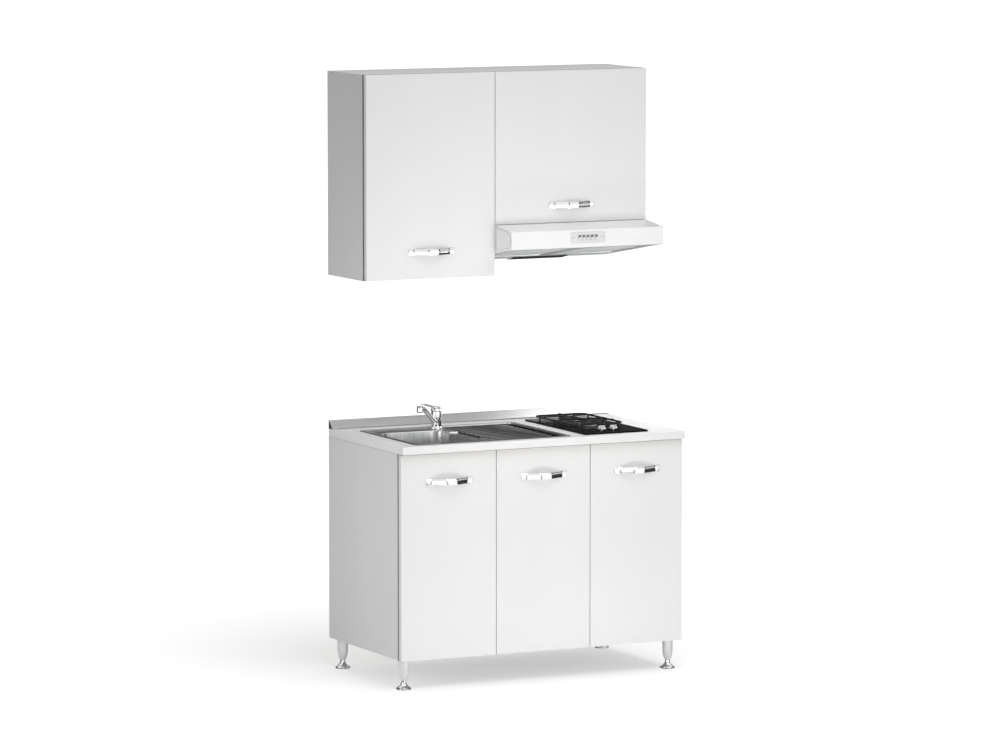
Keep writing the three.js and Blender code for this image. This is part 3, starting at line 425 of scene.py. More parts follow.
class Recipe(Wires):
    """Nodes of one procedural finish, on Object coordinates."""

    def __init__(self, name, base, roughness, metallic=0.0, specular=0.5):
        self.material = bpy.data.materials.new(name)
        self.material.use_nodes = True
        super().__init__(self.material.node_tree)
        self.shader = self.tree.nodes["Principled BSDF"]
        self.base = base
        self.shader.inputs["Base Color"].default_value = (*base, 1)
        self.shader.inputs["Roughness"].default_value = roughness
        self.shader.inputs["Metallic"].default_value = metallic
        self.shader.inputs["Specular IOR Level"].default_value = specular
        self.place = self.add("ShaderNodeTexCoord").outputs["Object"]
        self.normal = None

    def stretched(self, scale, turn=(0, 0, 0)):
        mapping = self.add("ShaderNodeMapping")
        mapping.inputs["Scale"].default_value = scale
        mapping.inputs["Rotation"].default_value = turn
        self.link(self.place, mapping.inputs["Vector"])
        return mapping.outputs["Vector"]

    def noise(self, scale, detail=3.0, stretch=(1, 1, 1), rough=0.5, distortion=0.0):
        node = self.add("ShaderNodeTexNoise")
        node.inputs["Scale"].default_value = scale
        node.inputs["Detail"].default_value = detail
        node.inputs["Roughness"].default_value = rough
        node.inputs["Distortion"].default_value = distortion
        self.link(self.stretched(stretch), node.inputs["Vector"])
        return node.outputs["Fac"]

    def cells(self, scale, feature="F1", stretch=(1, 1, 1)):
        node = self.add("ShaderNodeTexVoronoi", feature=feature)
        node.inputs["Scale"].default_value = scale
        self.link(self.stretched(stretch), node.inputs["Vector"])
        return node.outputs["Distance"], node.outputs.get("Color")

    def mix(self, factor, first, second):
        node = self.add("ShaderNodeMix", data_type="RGBA")
        self.link(factor, node.inputs["Factor"])
        for socket, value in ((node.inputs[6], first), (node.inputs[7], second)):
            if hasattr(value, "links"):
                self.link(value, socket)
            else:
                socket.default_value = (*value, 1)
        return node.outputs[2]

    def shade(self, amount):
        return tuple(min(1.0, channel * amount) for channel in self.base)

    def tone(self, value, darker, lighter, low=0.3, high=0.7):
        """Colour that drifts between a darker and a lighter shade of the base, as a pattern rises."""
        tint = self.mix(self.span(value, low, high), self.shade(darker), self.shade(lighter))
        self.link(tint, self.shader.inputs["Base Color"])
        return tint

    def paint(self, colour_output):
        self.link(colour_output, self.shader.inputs["Base Color"])

    def gloss(self, value, smoother, rougher, low=0.3, high=0.7):
        self.link(self.span(value, low, high, smoother, rougher), self.shader.inputs["Roughness"])

    def bump(self, value, distance, strength=1.0):
        node = self.add("ShaderNodeBump")
        node.inputs["Strength"].default_value = strength
        node.inputs["Distance"].default_value = distance
        self.link(value, node.inputs["Height"])
        if self.normal is not None:
            self.link(self.normal, node.inputs["Normal"])
        self.normal = node.outputs["Normal"]
        self.link(self.normal, self.shader.inputs["Normal"])


FINISHES = {}


def melamine(name, base, roughness, upright_grain=0.0):
    """Melamine-faced board: a fine pebble in the gloss, faint mottling and a soft print."""
    made = Recipe(name, base, roughness)
    drift = made.noise(5, 2, (1, 1, 0.35))
    fine = made.noise(420, 2, (1, 1, 0.25 if upright_grain else 1))
    made.tone(drift, 0.988, 1.006)
    made.gloss(fine, roughness - 0.06, roughness + 0.08)
    made.bump(fine, 0.00003, 0.35 + upright_grain)
    return made.material


def chipboard(name, base):
    """Pressed chips: flat cells of several browns with dark seams."""
    made = Recipe(name, base, 0.85, specular=0.25)
    distance, tint = made.cells(620, stretch=(1, 1, 1.6))
    grey = made.add("ShaderNodeSeparateColor")
    made.link(tint, grey.inputs["Color"])
    chips = made.mix(made.span(grey.outputs[0], 0.1, 0.9), made.shade(0.62), made.shade(1.35))
    seams = made.mix(made.span(distance, 0.35, 0.75), chips, made.shade(0.4))
    made.paint(seams)
    made.bump(distance, 0.0003, 0.5)
    return made.material


def polished(name, base, roughness=0.06):
    """Chrome: nearly a mirror, with faint cloudy wear in its gloss."""
    made = Recipe(name, base, roughness, metallic=1.0)
    cloud = made.noise(26, 4, rough=0.6)
    made.gloss(cloud, roughness * 0.6, roughness * 2.2, 0.35, 0.75)
    made.tone(cloud, 1.03, 0.94, 0.3, 0.8)
    made.bump(made.noise(90, 2), 0.00002, 0.25)
    return made.material


def brushed(name, base, roughness, stretch, metallic=1.0, depth=0.00003):
    """Metal brushed one way: long streaks in tone, gloss and height."""
    made = Recipe(name, base, roughness, metallic=metallic)
    streaks = made.noise(34, 6, stretch, rough=0.7)
    cloud = made.noise(7, 3)
    made.tone(streaks, 0.86, 1.10)
    made.gloss(streaks, roughness * 0.75, roughness * 1.35)
    made.bump(streaks, depth, 0.5)
    made.bump(cloud, 0.0006, 0.06)
    return made.material


def drainer_steel_painted_reflections(name, base, low, floor_z):
    """Drainer sheet: brushed steel with a painted dark reflection where the drainer lies lowest and painted
    highlights on its ridge crests.
    """
    made = Recipe(name, base, 0.2, metallic=1.0)
    made.shader.inputs["Specular Tint"].default_value = (0.30, 0.30, 0.30, 1)
    streaks = made.noise(30, 6, (1, 16, 16), rough=0.7)
    # painted reflection and highlight: near black on the drainer's low places, the lighter steel from the
    # ridge crests upwards
    rise = made.span(made.axes(made.place)["Z"], floor_z + 0.0024, floor_z + 0.0030, 0.0, 0.85)
    streaky = made.span(streaks, 0.3, 0.7)
    bright = made.mix(streaky, made.shade(0.86), made.shade(1.12))
    dark = made.mix(streaky, tuple(c * 0.75 for c in low), tuple(c * 1.4 for c in low))
    made.paint(made.mix(rise, dark, bright))
    made.gloss(streaks, 0.14, 0.28)
    made.bump(streaks, 0.00003, 0.45)
    return made.material


def bowl_steel(name, base):
    """Bowl sheet: drawn metal with soft upright streaks on its walls."""
    made = Recipe(name, base, 0.3, metallic=0.85)
    streaks = made.noise(22, 5, (3, 3, 0.25), rough=0.6)
    cloud = made.noise(9, 3)
    made.tone(streaks, 0.80, 1.14)
    made.gloss(cloud, 0.22, 0.38)
    made.bump(streaks, 0.00004, 0.4)
    return made.material


def black_glass(name, base):
    """Tempered glass: deep black, with a faint bloom of dust and fine polish marks."""
    made = Recipe(name, base, 0.10, specular=0.03)
    dust = made.noise(60, 5, rough=0.7)
    made.tone(dust, 0.8, 2.4, 0.45, 0.8)
    made.gloss(dust, 0.07, 0.22, 0.3, 0.8)
    made.bump(made.noise(14, 1), 0.0004, 0.02)
    return made.material


def enamel(name, base, roughness, pit=0.00008, specular=0.5):
    """Fired enamel: a slight orange peel and a few dull specks."""
    made = Recipe(name, base, roughness, specular=specular)
    peel = made.noise(190, 2)
    cloud = made.noise(8, 3)
    made.tone(cloud, 0.98, 1.012)
    made.gloss(peel, roughness - 0.04, roughness + 0.08)
    made.bump(peel, pit, 0.4)
    return made.material


def cast(name, base, roughness=0.45):
    """Cast metal: grainy, with darker pits."""
    made = Recipe(name, base, roughness, metallic=0.9)
    grain = made.noise(700, 3)
    made.tone(grain, 0.72, 1.15)
    made.gloss(grain, roughness - 0.1, roughness + 0.12)
    made.bump(grain, 0.00008, 0.6)
    return made.material


def moulded(name, base, roughness=0.45, spark=520):
    """Moulded plastic: a fine spark-eroded texture."""
    made = Recipe(name, base, roughness)
    spark_noise = made.noise(spark, 2)
    made.tone(made.noise(11, 2), 0.96, 1.03)
    made.gloss(spark_noise, roughness - 0.05, roughness + 0.09)
    made.bump(spark_noise, 0.00005, 0.4)
    return made.material


def lens_plastic(name, base):
    """Lamp cover: frosted plastic with fine ribs across it, with painted shade in the troughs between the
    ribs.
    """
    made = Recipe(name, base, 0.35)
    wave = made.add("ShaderNodeTexWave", wave_type="BANDS", bands_direction="X")
    wave.inputs["Scale"].default_value = 90
    made.link(made.place, wave.inputs["Vector"])
    made.tone(wave.outputs["Fac"], 0.86, 1.05, 0.0, 1.0)
    made.bump(wave.outputs["Fac"], 0.0004, 0.6)
    return made.material


def mix_finishes():
    """Makes every finish once, from the panel's colours."""
    colours = bpy.context.scene.kitchenette_colours
    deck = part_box("sink")[1].z

    def tint(key):
        return tuple(getattr(colours, key))

    FINISHES.update({
        "board": melamine("Board_melamine", tint("board"), 0.5),
        "door": melamine("Door_laminate", tint("door"), 0.42, 0.25),
        "worktop": melamine("Worktop_laminate", tint("worktop"), 0.45),
        "chipboard": chipboard("Bare_chipboard", tint("chipboard")),
        "leg": brushed("Leg_satin", tint("leg"), 0.26, (1, 1, 0.1), 0.08),
        "chrome": polished("Chrome", tint("chrome")),
        "knob": polished("Knob_chrome", tint("knob"), 0.12),
        "strip": brushed("Backsplash_aluminium", tint("strip"), 0.38, (0.04, 1, 1), 0.9),
        "sink": drainer_steel_painted_reflections("Sink_sheet", tint("steel"), tint("drainer"), deck - TRAY_DEPTH),
        "bowl": bowl_steel("Bowl_sheet", tint("bowl")),
        "deck": brushed("Deck_sheet", tint("steel"), 0.24, (0.06, 1, 1), 1.0, 0.00001),
        "glass": black_glass("Hob_glass", tint("glass")),
        "burner": cast("Burner_casting", tint("burner")),
        "black": enamel("Black_enamel", tint("enamel"), 0.38, specular=0.35),
        "hood": enamel("Hood_enamel", tint("hood"), 0.32, 0.00004),
        "filter": brushed("Filter_mesh", tint("filter"), 0.42, (1, 1, 1), 0.6),
        "white_plastic": moulded("White_plastic", tint("white_plastic")),
        "grey_plastic": moulded("Grey_plastic", tint("grey_plastic"), 0.5),
        "zinc": brushed("Zinc_plate", tint("zinc"), 0.36, (1, 1, 0.3), 0.95),
        # black rubber of the aerator, pointer lines and sink seal, also used as painted shade on the boards'
        # front strips and the lamp cover's front
        "rubber": moulded("Black_rubber", (0.02, 0.02, 0.02), 0.7),
        "lens": lens_plastic("Lamp_lens", tint("white_plastic")),
    })


# ---------------------------------------------------------------- places and cuts

def centre(node):
    low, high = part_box(node)
    return (low + high) / 2


def every_other(at, sides):
    """Whether a point lies on an even side of a turned piece with so many sides."""
    return math.floor(math.atan2(at.y, at.x) / (2 * math.pi) * sides) % 2 == 0


def cut_across(piece, y):
    """A line of edges round a board, where its strip of painted gap shade ends."""
    edit_all(piece)
    bpy.ops.mesh.bisect(plane_co=(0, y, 0), plane_no=(0, 1, 0))
    leave_edit()
    return piece


class PieceOperator:
    bl_options = {"REGISTER", "UNDO"}


# ---------------------------------------------------------------- cabinets

# what the number of a board's finish stands for, after the melamine of its faces
BOARD_FINISHES = "board chipboard zinc rubber"
# the last number is painted shade: black on the front strip of a board's outer face, for the shadow in the
# gap beside the doors
BARE, ZINC, GAP_SHADE = 1, 2, 3
GAP_SHADE_STRIP = 6 * MM
THIN_EDGE = 0.2 * MM
# how far a hinge's faces stand off the board that carries it, and how far back from its front edge they reach
PROUD = 0.2 * MM
HINGE_REACH = 90 * MM


def faces(normal, axes):
    """Whether a face looks sideways, to the rear, or up or down, as the axes ask."""
    looks = {"x": abs(normal.x), "y": normal.y, "z": abs(normal.z)}
    return any(looks[axis] > 0.8 for axis in axes)


class KITCHENETTE_OT_base_boards(PieceOperator, bpy.types.Operator):
    """Boards of the base cabinet, with bare edges where no banding covers them"""
    bl_idname = "kitchenette.base_boards"
    bl_label = "Base boards"

    def execute(self, context):
        edge = context.scene.kitchenette_edges.board
        thick = 18 * MM
        for side, sign in (("left", 1), ("right", -1)):
            node = f"base_side_{side}"
            low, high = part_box(node)
            front = low.y
            piece = cut_across(from_solid(node, f"side_board_{side}", edge), front + GAP_SHADE_STRIP)
            inner = (low.x if sign > 0 else high.x) + sign * thick

            def side_finish(at, normal, inner=inner, sign=sign, front=front):
                if sign * (at.x - inner) > PROUD:
                    return ZINC
                # painted shade: the front strip of the outer face is black, for the shadow in the gap beside
                # the door
                if at.y < front + GAP_SHADE_STRIP and normal.x * sign < -0.5:
                    return GAP_SHADE
                return BARE if faces(normal, "yz") and at.y > front + MM else 0

            lay(piece, BOARD_FINISHES, "cabinet", "board", node, test=side_finish)
        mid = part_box("base_door_middle")[1].x + 1.5 * MM
        piece = from_solid("base_partition", "partition_board", edge)

        def partition_finish(at, normal):
            if abs(at.x - mid) > thick / 2 + PROUD:
                return ZINC
            return BARE if faces(normal, "yz") else 0

        lay(piece, BOARD_FINISHES, "cabinet", "board", "base_partition", test=partition_finish)
        for node, name in (("base_bottom", "bottom_board"), ("base_shelf", "hob_shelf"),
                           ("base_rail_front", "front_rail"), ("base_back", "back_panel")):
            bare = "xy" if node in ("base_bottom", "base_shelf") else "xyz"
            piece = from_solid(node, name, edge if node != "base_back" else THIN_EDGE)
            lay(piece, "board chipboard", "cabinet", "board", node,
                test=lambda at, normal, bare=bare: faces(normal, bare))
        return {"FINISHED"}


class KITCHENETTE_OT_wall_boards(PieceOperator, bpy.types.Operator):
    """Boards, backs and shelf of the two wall cabinets, with the screws in the left side"""
    bl_idname = "kitchenette.wall_boards"
    bl_label = "Wall cabinet boards"

    def execute(self, context):
        edge = context.scene.kitchenette_edges.board
        thick = 16 * MM
        for side in ("left", "right"):
            node = f"wall_{side}_carcass"
            low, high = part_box(node)
            piece = cut_across(from_solid(node, f"wall_box_{side}", edge), low.y + GAP_SHADE_STRIP)

            def box_finish(at, normal, low=low, high=high):
                from_side = min(at.x - low.x, high.x - at.x)
                within = low.z + thick + PROUD < at.z < high.z - thick - PROUD
                if from_side > thick + PROUD and at.y < low.y + HINGE_REACH and within:
                    return ZINC
                # painted shade: the front strip of the side's outer face is black, for the shadow in the gap
                # beside the door
                if at.y < low.y + GAP_SHADE_STRIP and from_side < MM and abs(normal.x) > 0.5:
                    return GAP_SHADE
                return BARE if faces(normal, "y") else 0

            lay(piece, BOARD_FINISHES, "cabinet", "board", node, test=box_finish)
            back = from_solid(f"wall_{side}_back", f"wall_back_{side}", THIN_EDGE)
            lay(back, "board chipboard", "cabinet", "board", f"wall_{side}_back",
                test=lambda at, normal: faces(normal, "y"))
        shelf = from_solid("wall_left_shelf", "wall_shelf", edge)
        lay(shelf, "board chipboard", "cabinet", "board", "wall_left_shelf",
            test=lambda at, normal: faces(normal, "xy"))
        low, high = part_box("wall_left_carcass")
        sideways = tilt(-90, "Y")
        for number, y in enumerate((high.y - 34 * MM, high.y - 223 * MM), 1):
            screw = turned(f"side_screw_{number}",
                           in_mm((1.2, -0.5), (1.2, 1.2), (2.9, 1.2), (3.1, 2.4), (2.6, 3.1), (1.1, 3.2),
                                 (0.9, 2), (0.2, 1.9)),
                           (low.x + 4 * MM, y, high.z - 8 * MM), 24, sideways)
            lay(screw, "zinc", "cabinet", "steel")
        return {"FINISHED"}


DOOR_THICK = 19 * MM
CUP_FROM_EDGE = 22.5 * MM
CUP_FROM_END = 100 * MM
# from the middle of a handle to each of its screws
HANDLE_SCREWS = 82 * MM
# each door, with the side of its hinges: -1 left, 1 right
DOORS = {
    "base_door_left": -1, "base_door_middle": 1, "base_door_right": 1,
    "wall_door_left": -1, "wall_door_right": 1,
}


class KITCHENETTE_OT_doors(PieceOperator, bpy.types.Operator):
    """Doors with banded edges, each with two hinge cups and the screws of its handle inside"""
    bl_idname = "kitchenette.doors"
    bl_label = "Doors"

    def execute(self, context):
        edge = context.scene.kitchenette_edges.door
        for node, hinge in DOORS.items():
            low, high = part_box(node)
            piece = from_solid(node, node.replace("door", "door_panel"), edge, 3)
            cup_x = (high.x if hinge > 0 else low.x) - hinge * CUP_FROM_EDGE

            def of_hinge(at, normal, cup_x=cup_x, front=low.y):
                """The hollow of a cup, and what stands off the door's rear."""
                near_cup = at.y > front + 7.2 * MM and abs(at.x - cup_x) < 20 * MM
                return near_cup and abs(normal.y) < 0.999 or at.y > front + DOOR_THICK - 0.5 * MM

            lay(piece, "door zinc", node, "door", node, test=of_hinge)
            self.cups(node, low, high, cup_x, hinge)
        return {"FINISHED"}

    def cups(self, node, low, high, cup_x, hinge):
        inward = tilt(90, "X")
        parts = []
        grip = centre(node.replace("door", "handle"))
        face = low.y + DOOR_THICK
        for z in (low.z + CUP_FROM_END, high.z - CUP_FROM_END):
            parts.append(turned("cup", in_mm((14.6, 10.4), (14.9, 10.4), (15.1, 0.9), (15.1, -0.4),
                                             (14, -0.4), (13.6, 9.2), (2, 9.2)),
                                (cup_x, face, z), 32, inward))
            parts += [turned("screw", in_mm((1.6, 0.4), (3.4, 0), (3.4, -0.7), (1.5, -1), (1.2, -0.4),
                                            (0.3, -0.4)),
                             (cup_x - hinge * 4 * MM, face - 0.7 * MM, z + away), 20, inward)
                      for away in (-24 * MM, 24 * MM)]
        parts += [turned("screw", in_mm((3.6, 0.2), (4.1, 0), (4.1, -1.2), (2.6, -2), (1.8, -1.1),
                                        (0.4, -1.1)),
                         (grip.x + away, face - 0.8 * MM, grip.z), 20, inward)
                  for away in (-HANDLE_SCREWS, HANDLE_SCREWS)]
        fittings = joined(node.replace("door", "fittings"), *parts)
        lay(fittings, "zinc", node, "steel")


class KITCHENETTE_OT_handles(PieceOperator, bpy.types.Operator):
    """Bow handles: a flat strap drawn out from the door between two flat feet"""
    bl_idname = "kitchenette.handles"
    bl_label = "Handles"

    def execute(self, context):
        low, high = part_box("base_handle_left")
        foot, thick = 12 * MM, 4 * MM
        run = (high.x - low.x) / 2 - foot
        crown, rise, turn = 13 * MM, (high.y - low.y) - thick, 0.2
        strap = brick("handle_strap", (low.x, high.y - thick, low.z), (low.x + foot, high.y, high.z))
        steps = 44

        def lift(x):
            t = min(1.0, max(0.0, (run - abs(x)) / (run - crown)))
            soft = 2 * turn * (1 - turn)
            if t > 1 - turn:
                return rise * (1 - (1 - t) ** 2 / soft)
            return rise * (t * t / soft if t < turn else (t - turn / 2) / (1 - turn))

        xs = [-run + 2 * run * i / steps for i in range(steps + 1)]
        pick_faces(strap, to_the_right)
        for a, b in zip(xs, xs[1:]):
            draw_out(b - a, lift(a) - lift(b), 0)
        draw_out(foot, 0, 0)
        leave_edit()
        outward(strap)
        round_edges(strap, context.scene.kitchenette_edges.handle, 3, 40)
        smooth(strap, 35)
        for node in DOORS:
            grip = node.replace("door", "handle")
            shift = centre(grip) - centre("base_handle_left")
            lay(copied(strap, grip.replace("handle", "bow_handle"), shift), "chrome", node, "chrome", grip)
        bpy.data.objects.remove(strap)
        return {"FINISHED"}


class KITCHENETTE_OT_worktop(PieceOperator, bpy.types.Operator):
    """Worktop with rounded edges and a bare underside, and the bevelled strip along the wall"""
    bl_idname = "kitchenette.worktop"
    bl_label = "Worktop and strip"

    def execute(self, context):
        edges = context.scene.kitchenette_edges
        top = from_solid("worktop", "worktop_slab", edges.worktop, 4, pierced=True)
        low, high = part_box("worktop")

        def bare(at, normal):
            """The underside, and the walls of the cut-outs."""
            inside = low.x + 30 * MM < at.x < high.x - 30 * MM and low.y + 12 * MM < at.y < high.y - 12 * MM
            return normal.z < -0.9 or inside and abs(normal.z) < 0.3

        lay(top, "worktop chipboard", "cabinet", "worktop", "worktop", test=bare)
        strip = from_solid("backsplash", "backsplash_strip", 0.35 * MM)
        lay(strip, "strip", "cabinet", "strip", "backsplash")
        low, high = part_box("backsplash")
        seal = brick("backsplash_seal", (low.x, low.y - 1.6 * MM, low.z - 0.3 * MM),
                     (high.x, low.y - 0.1 * MM, low.z + 2.2 * MM))
        pick_faces(seal, upward)
        bpy.ops.transform.translate(value=(0, 0.6 * MM, 0))
        leave_edit()
        round_edges(seal, 0.4 * MM, 2)
        smooth(seal)
        lay(seal, "grey_plastic", "cabinet", "strip")
        return {"FINISHED"}


def shares(count):
    """The shares of a length after each of so many equal steps along it."""
    return [i / count for i in range(1, count + 1)]


class KITCHENETTE_OT_legs(PieceOperator, bpy.types.Operator):
    """Turned satin legs on chrome trumpet feet"""
    bl_idname = "kitchenette.legs"
    bl_label = "Legs"

    def execute(self, context):
        for corner in ("front_left", "front_right", "rear_left", "rear_right"):
            leg_low, leg_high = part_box(f"leg_{corner}")
            foot_low, foot_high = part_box(f"foot_{corner}")
            x, y = centre(f"leg_{corner}").xy
            wide, waist = (leg_high.x - leg_low.x) / 2, 9 * MM
            bottom, top = leg_low.z, leg_high.z
            profile = in_mm((-0.8, 0), (0, 0.4), r=waist, z=bottom)
            for t in shares(22):
                profile.append((waist + (wide - waist) * (1 - (1 - t) ** 5),
                                bottom + (top - bottom - 0.8 * MM) * t))
            profile.append((wide - 0.7 * MM, top))
            leg = turned(f"turned_leg_{corner}", profile, (x, y, 0))
            lay(leg, "leg", "cabinet", "leg_satin", f"leg_{corner}")
            wide = (foot_high.x - foot_low.x) / 2
            high, rim, neck = foot_high.z, 5 * MM, 8.5 * MM
            profile = in_mm((-1.6, 0), (-0.5, 0.5), (0, 1.6), r=wide)
            profile += in_mm((0, -1.4), (-0.5, -0.3), r=wide, z=rim)
            for share in shares(18):
                t = 1 - share
                profile.append((neck + (wide - 1.5 * MM - neck) * t ** 2.4,
                                rim + (high - rim - 0.4 * MM) * (1 - t)))
            profile.append((neck - 0.6 * MM, high))
            foot = turned(f"trumpet_foot_{corner}", profile, (x, y, 0))
            lay(foot, "chrome", "cabinet", "foot_chrome", f"foot_{corner}")
        return {"FINISHED"}


# ---------------------------------------------------------------- sink and waste

def pressed(name, low, high, corner, profile):
    """A rounded rectangle followed downwards by (inset, height) steps from its widest outline, closed."""
    clear_selection()
    top = profile[0][1]
    bpy.ops.mesh.primitive_plane_add(size=1, rotation=(math.pi, 0, 0),
                                     location=((low[0] + high[0]) / 2, (low[1] + high[1]) / 2, top))
    piece = named(name)
    piece.scale = (high[0] - low[0], high[1] - low[1], 1)
    settle(piece)
    edit_all(piece)
    bpy.ops.mesh.bevel(offset=corner, offset_type="OFFSET", segments=8, affect="VERTICES", profile=0.5)
    bpy.ops.mesh.select_all(action="SELECT")
    for (d0, z0), (d1, z1) in zip(profile, profile[1:]):
        if d1 - d0 < 100 * SAME:
            draw_out(0, 0, z1 - z0)
        else:
            step_in(d1 - d0, z0 - z1)
    leave_edit()
    return outward(piece)


def combine(piece, tool, operation):
    """Adds a second shape to the piece or cuts it out of the piece, and removes that shape."""
    apply_modifier(piece, "BOOLEAN", object=tool, operation=operation, solver="MANIFOLD")
    bpy.data.objects.remove(tool)
    return piece


def arc(count, first, last):
    return [math.radians(first + (last - first) * i / count) for i in range(count + 1)]


SHEET = 1.5 * MM
SINK_CORNER = 18 * MM
BOWL_LEFT = 14 * MM
BOWL_RIGHT = 264 * MM
BOWL_DEPTH = 150 * MM
TRAY_LEFT = 298 * MM
TRAY_FRONT = 14 * MM
TRAY_DEPTH = 8 * MM
OVERFLOW_DOWN = 52 * MM


def hollow(name, deck, low, high, corner, deep, fillet, lip, outside):
    """One pressed hollow of the sink, as the volume inside the sheet or the one outside it."""
    out = SHEET if outside else 0.0
    bend = lip - out
    top = deck - out
    profile = [(0, deck - 0.5 * MM if outside else deck + 4 * MM)]
    profile += [(bend * math.sin(a), top - bend * (1 - math.cos(a))) for a in arc(4, 0, 90)]
    round_floor = fillet + out
    floor = deck - deep - out
    profile += [(bend + round_floor * (1 - math.cos(a)), floor + round_floor * (1 - math.sin(a)))
                for a in arc(6, 0, 90)]
    return pressed(name, (low[0] - lip, low[1] - lip), (high[0] + lip, high[1] + lip), corner + lip, profile)


class KITCHENETTE_OT_sink(PieceOperator, bpy.types.Operator):
    """Pressed sink: rolled rim, deep bowl, spillway and ribbed drainer in one sheet, on a dark seal"""
    bl_idname = "kitchenette.sink"
    bl_label = "Sink"

    def execute(self, context):
        low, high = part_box("sink")
        deck = high.z
        x0, y0 = low.x, low.y
        tray_right, tray_rear = high.x - 12 * MM, high.y - 12 * MM
        # front left and rear right corner, corner radius, depth, floor fillet and lip of each hollow
        bowl = ((x0 + BOWL_LEFT, y0 + 24 * MM), (x0 + BOWL_RIGHT, y0 + 354 * MM),
                45 * MM, BOWL_DEPTH, 22 * MM, 3.4 * MM)
        drainer = ((x0 + TRAY_LEFT, y0 + TRAY_FRONT), (tray_right, tray_rear),
                   26 * MM, TRAY_DEPTH, 4.5 * MM, 2.6 * MM)
        spillway = ((x0 + 252 * MM, y0 + 88 * MM), (x0 + 310 * MM, y0 + 288 * MM),
                    12 * MM, 6 * MM, 3.2 * MM, 2.2 * MM)
        hollows = (bowl, drainer, spillway)
        sheet = pressed("sink_sheet", (low.x, low.y), (high.x, high.y), SINK_CORNER,
                        [(0, deck - SHEET), (0, deck - 1.0 * MM)])
        rim = in_mm((0, -1), (0.25, -0.45), (0.7, -0.12), (1.4, 0), z=deck)
        pick_faces(sheet, upward)
        for (d0, z0), (d1, z1) in zip(rim, rim[1:]):
            step_in(d1 - d0, z1 - z0)
        leave_edit()
        for place in hollows:
            combine(sheet, hollow("outside", deck, *place, outside=True), "UNION")
        for place in hollows:
            combine(sheet, hollow("inside", deck, *place, outside=False), "DIFFERENCE")
        self.ridges(sheet, deck, x0 + TRAY_LEFT, tray_right, y0 + TRAY_FRONT, tray_rear)
        waste_x, waste_y = centre("sink_strainer").xy
        overflow = (x0 + BOWL_LEFT, waste_y, deck - OVERFLOW_DOWN)
        for radius, place, bend in ((30, (waste_x, waste_y, deck - BOWL_DEPTH), None),
                                    (11, (*centre("tap_body").xy, deck), None),
                                    (12, overflow, tilt(90, "Y"))):
            combine(sheet, turned("hole", in_mm((radius, -10), (radius, 10)), place, bend=bend), "DIFFERENCE")
        smooth(sheet, 30)
        beside_drainer = x0 + TRAY_LEFT - 8 * MM
        beside_bowl = x0 + BOWL_RIGHT + 2 * MM

        def zone(at, normal):
            """Bowl, drainer or deck, in the order of the finishes."""
            if at.x > beside_drainer and at.z < deck - 0.6 * MM:
                return 1
            return 2 if at.z > deck - 2.4 * MM or at.x > beside_bowl else 0

        lay(sheet, "bowl sink deck", "cabinet", "steel", "sink", test=zone)
        self.seal(low, high)
        self.overflow_cover(*overflow)
        return {"FINISHED"}

    def ridges(self, sheet, deck, left, right, front, rear):
        floor = deck - TRAY_DEPTH
        # from the drainer's front and rear to the outer ridges, and from its sides to the ridges' ends
        margin, short = 34 * MM, 22 * MM
        half, count = 5 * MM, 11
        crest = floor + 3 * MM
        first = front + margin
        pitch = (rear - front - 2 * margin) / (count - 1)
        for i in range(count):
            y = first + i * pitch
            ridge = brick("ridge", (left + short, y - half, floor - 0.6 * MM),
                          (right - short, y + half, crest))
            pick_faces(ridge, upward)
            bpy.ops.transform.resize(value=(0.985, 0.42, 1),
                                     center_override=((left + right) / 2, y, crest))
            leave_edit()
            round_edges(ridge, 1.4 * MM, 3, 20)
            combine(sheet, ridge, "UNION")

    def seal(self, low, high):
        """The dark strip that shows as a line between the rim and the worktop."""
        under = high.z - SHEET
        out, gap = 3.2 * MM, 0.02 * MM
        ring = pressed("sink_seal", (low.x - out, low.y - out), (high.x + out, high.y + out),
                       SINK_CORNER + out, in_mm((0, -0.28), (0, 0.15), z=under))
        pick_faces(ring, upward)
        for inset, rise in ((0.3 * MM, 0.5 * MM), (0.6 * MM, 0.4 * MM), (1.2 * MM, 0.2 * MM)):
            step_in(inset, rise)
        leave_edit()
        inner = pressed("inside", (low.x - gap, low.y - gap), (high.x + gap, high.y + gap), SINK_CORNER,
                        in_mm((0, 4), (0, -4), z=under))
        combine(ring, inner, "DIFFERENCE")
        lay(smooth(ring), "rubber", "cabinet", "steel")

    def overflow_cover(self, x, y, z):
        """A pierced round cover in the bowl's left wall."""
        across = tilt(90, "Y")
        cover = turned("overflow_cover", in_mm((10, -0.5), (11.6, -0.5), (11.6, 0.3), (13.4, 0.4),
                                               (13.4, 1.1), (12.6, 1.6), (9.5, 1.6), (9, 0.9), (0.6, 0.9)),
                       (x, y, z), 40, across)
        ring = 5.6 * MM
        for a in arc(6, 0, 360)[:-1]:
            hole = turned("hole", in_mm((1.7, -3), (1.7, 3)),
                          (x, y + ring * math.cos(a), z + ring * math.sin(a)), 16, across)
            combine(cover, hole, "DIFFERENCE")
        lay(smooth(cover), "chrome", "cabinet", "chrome")


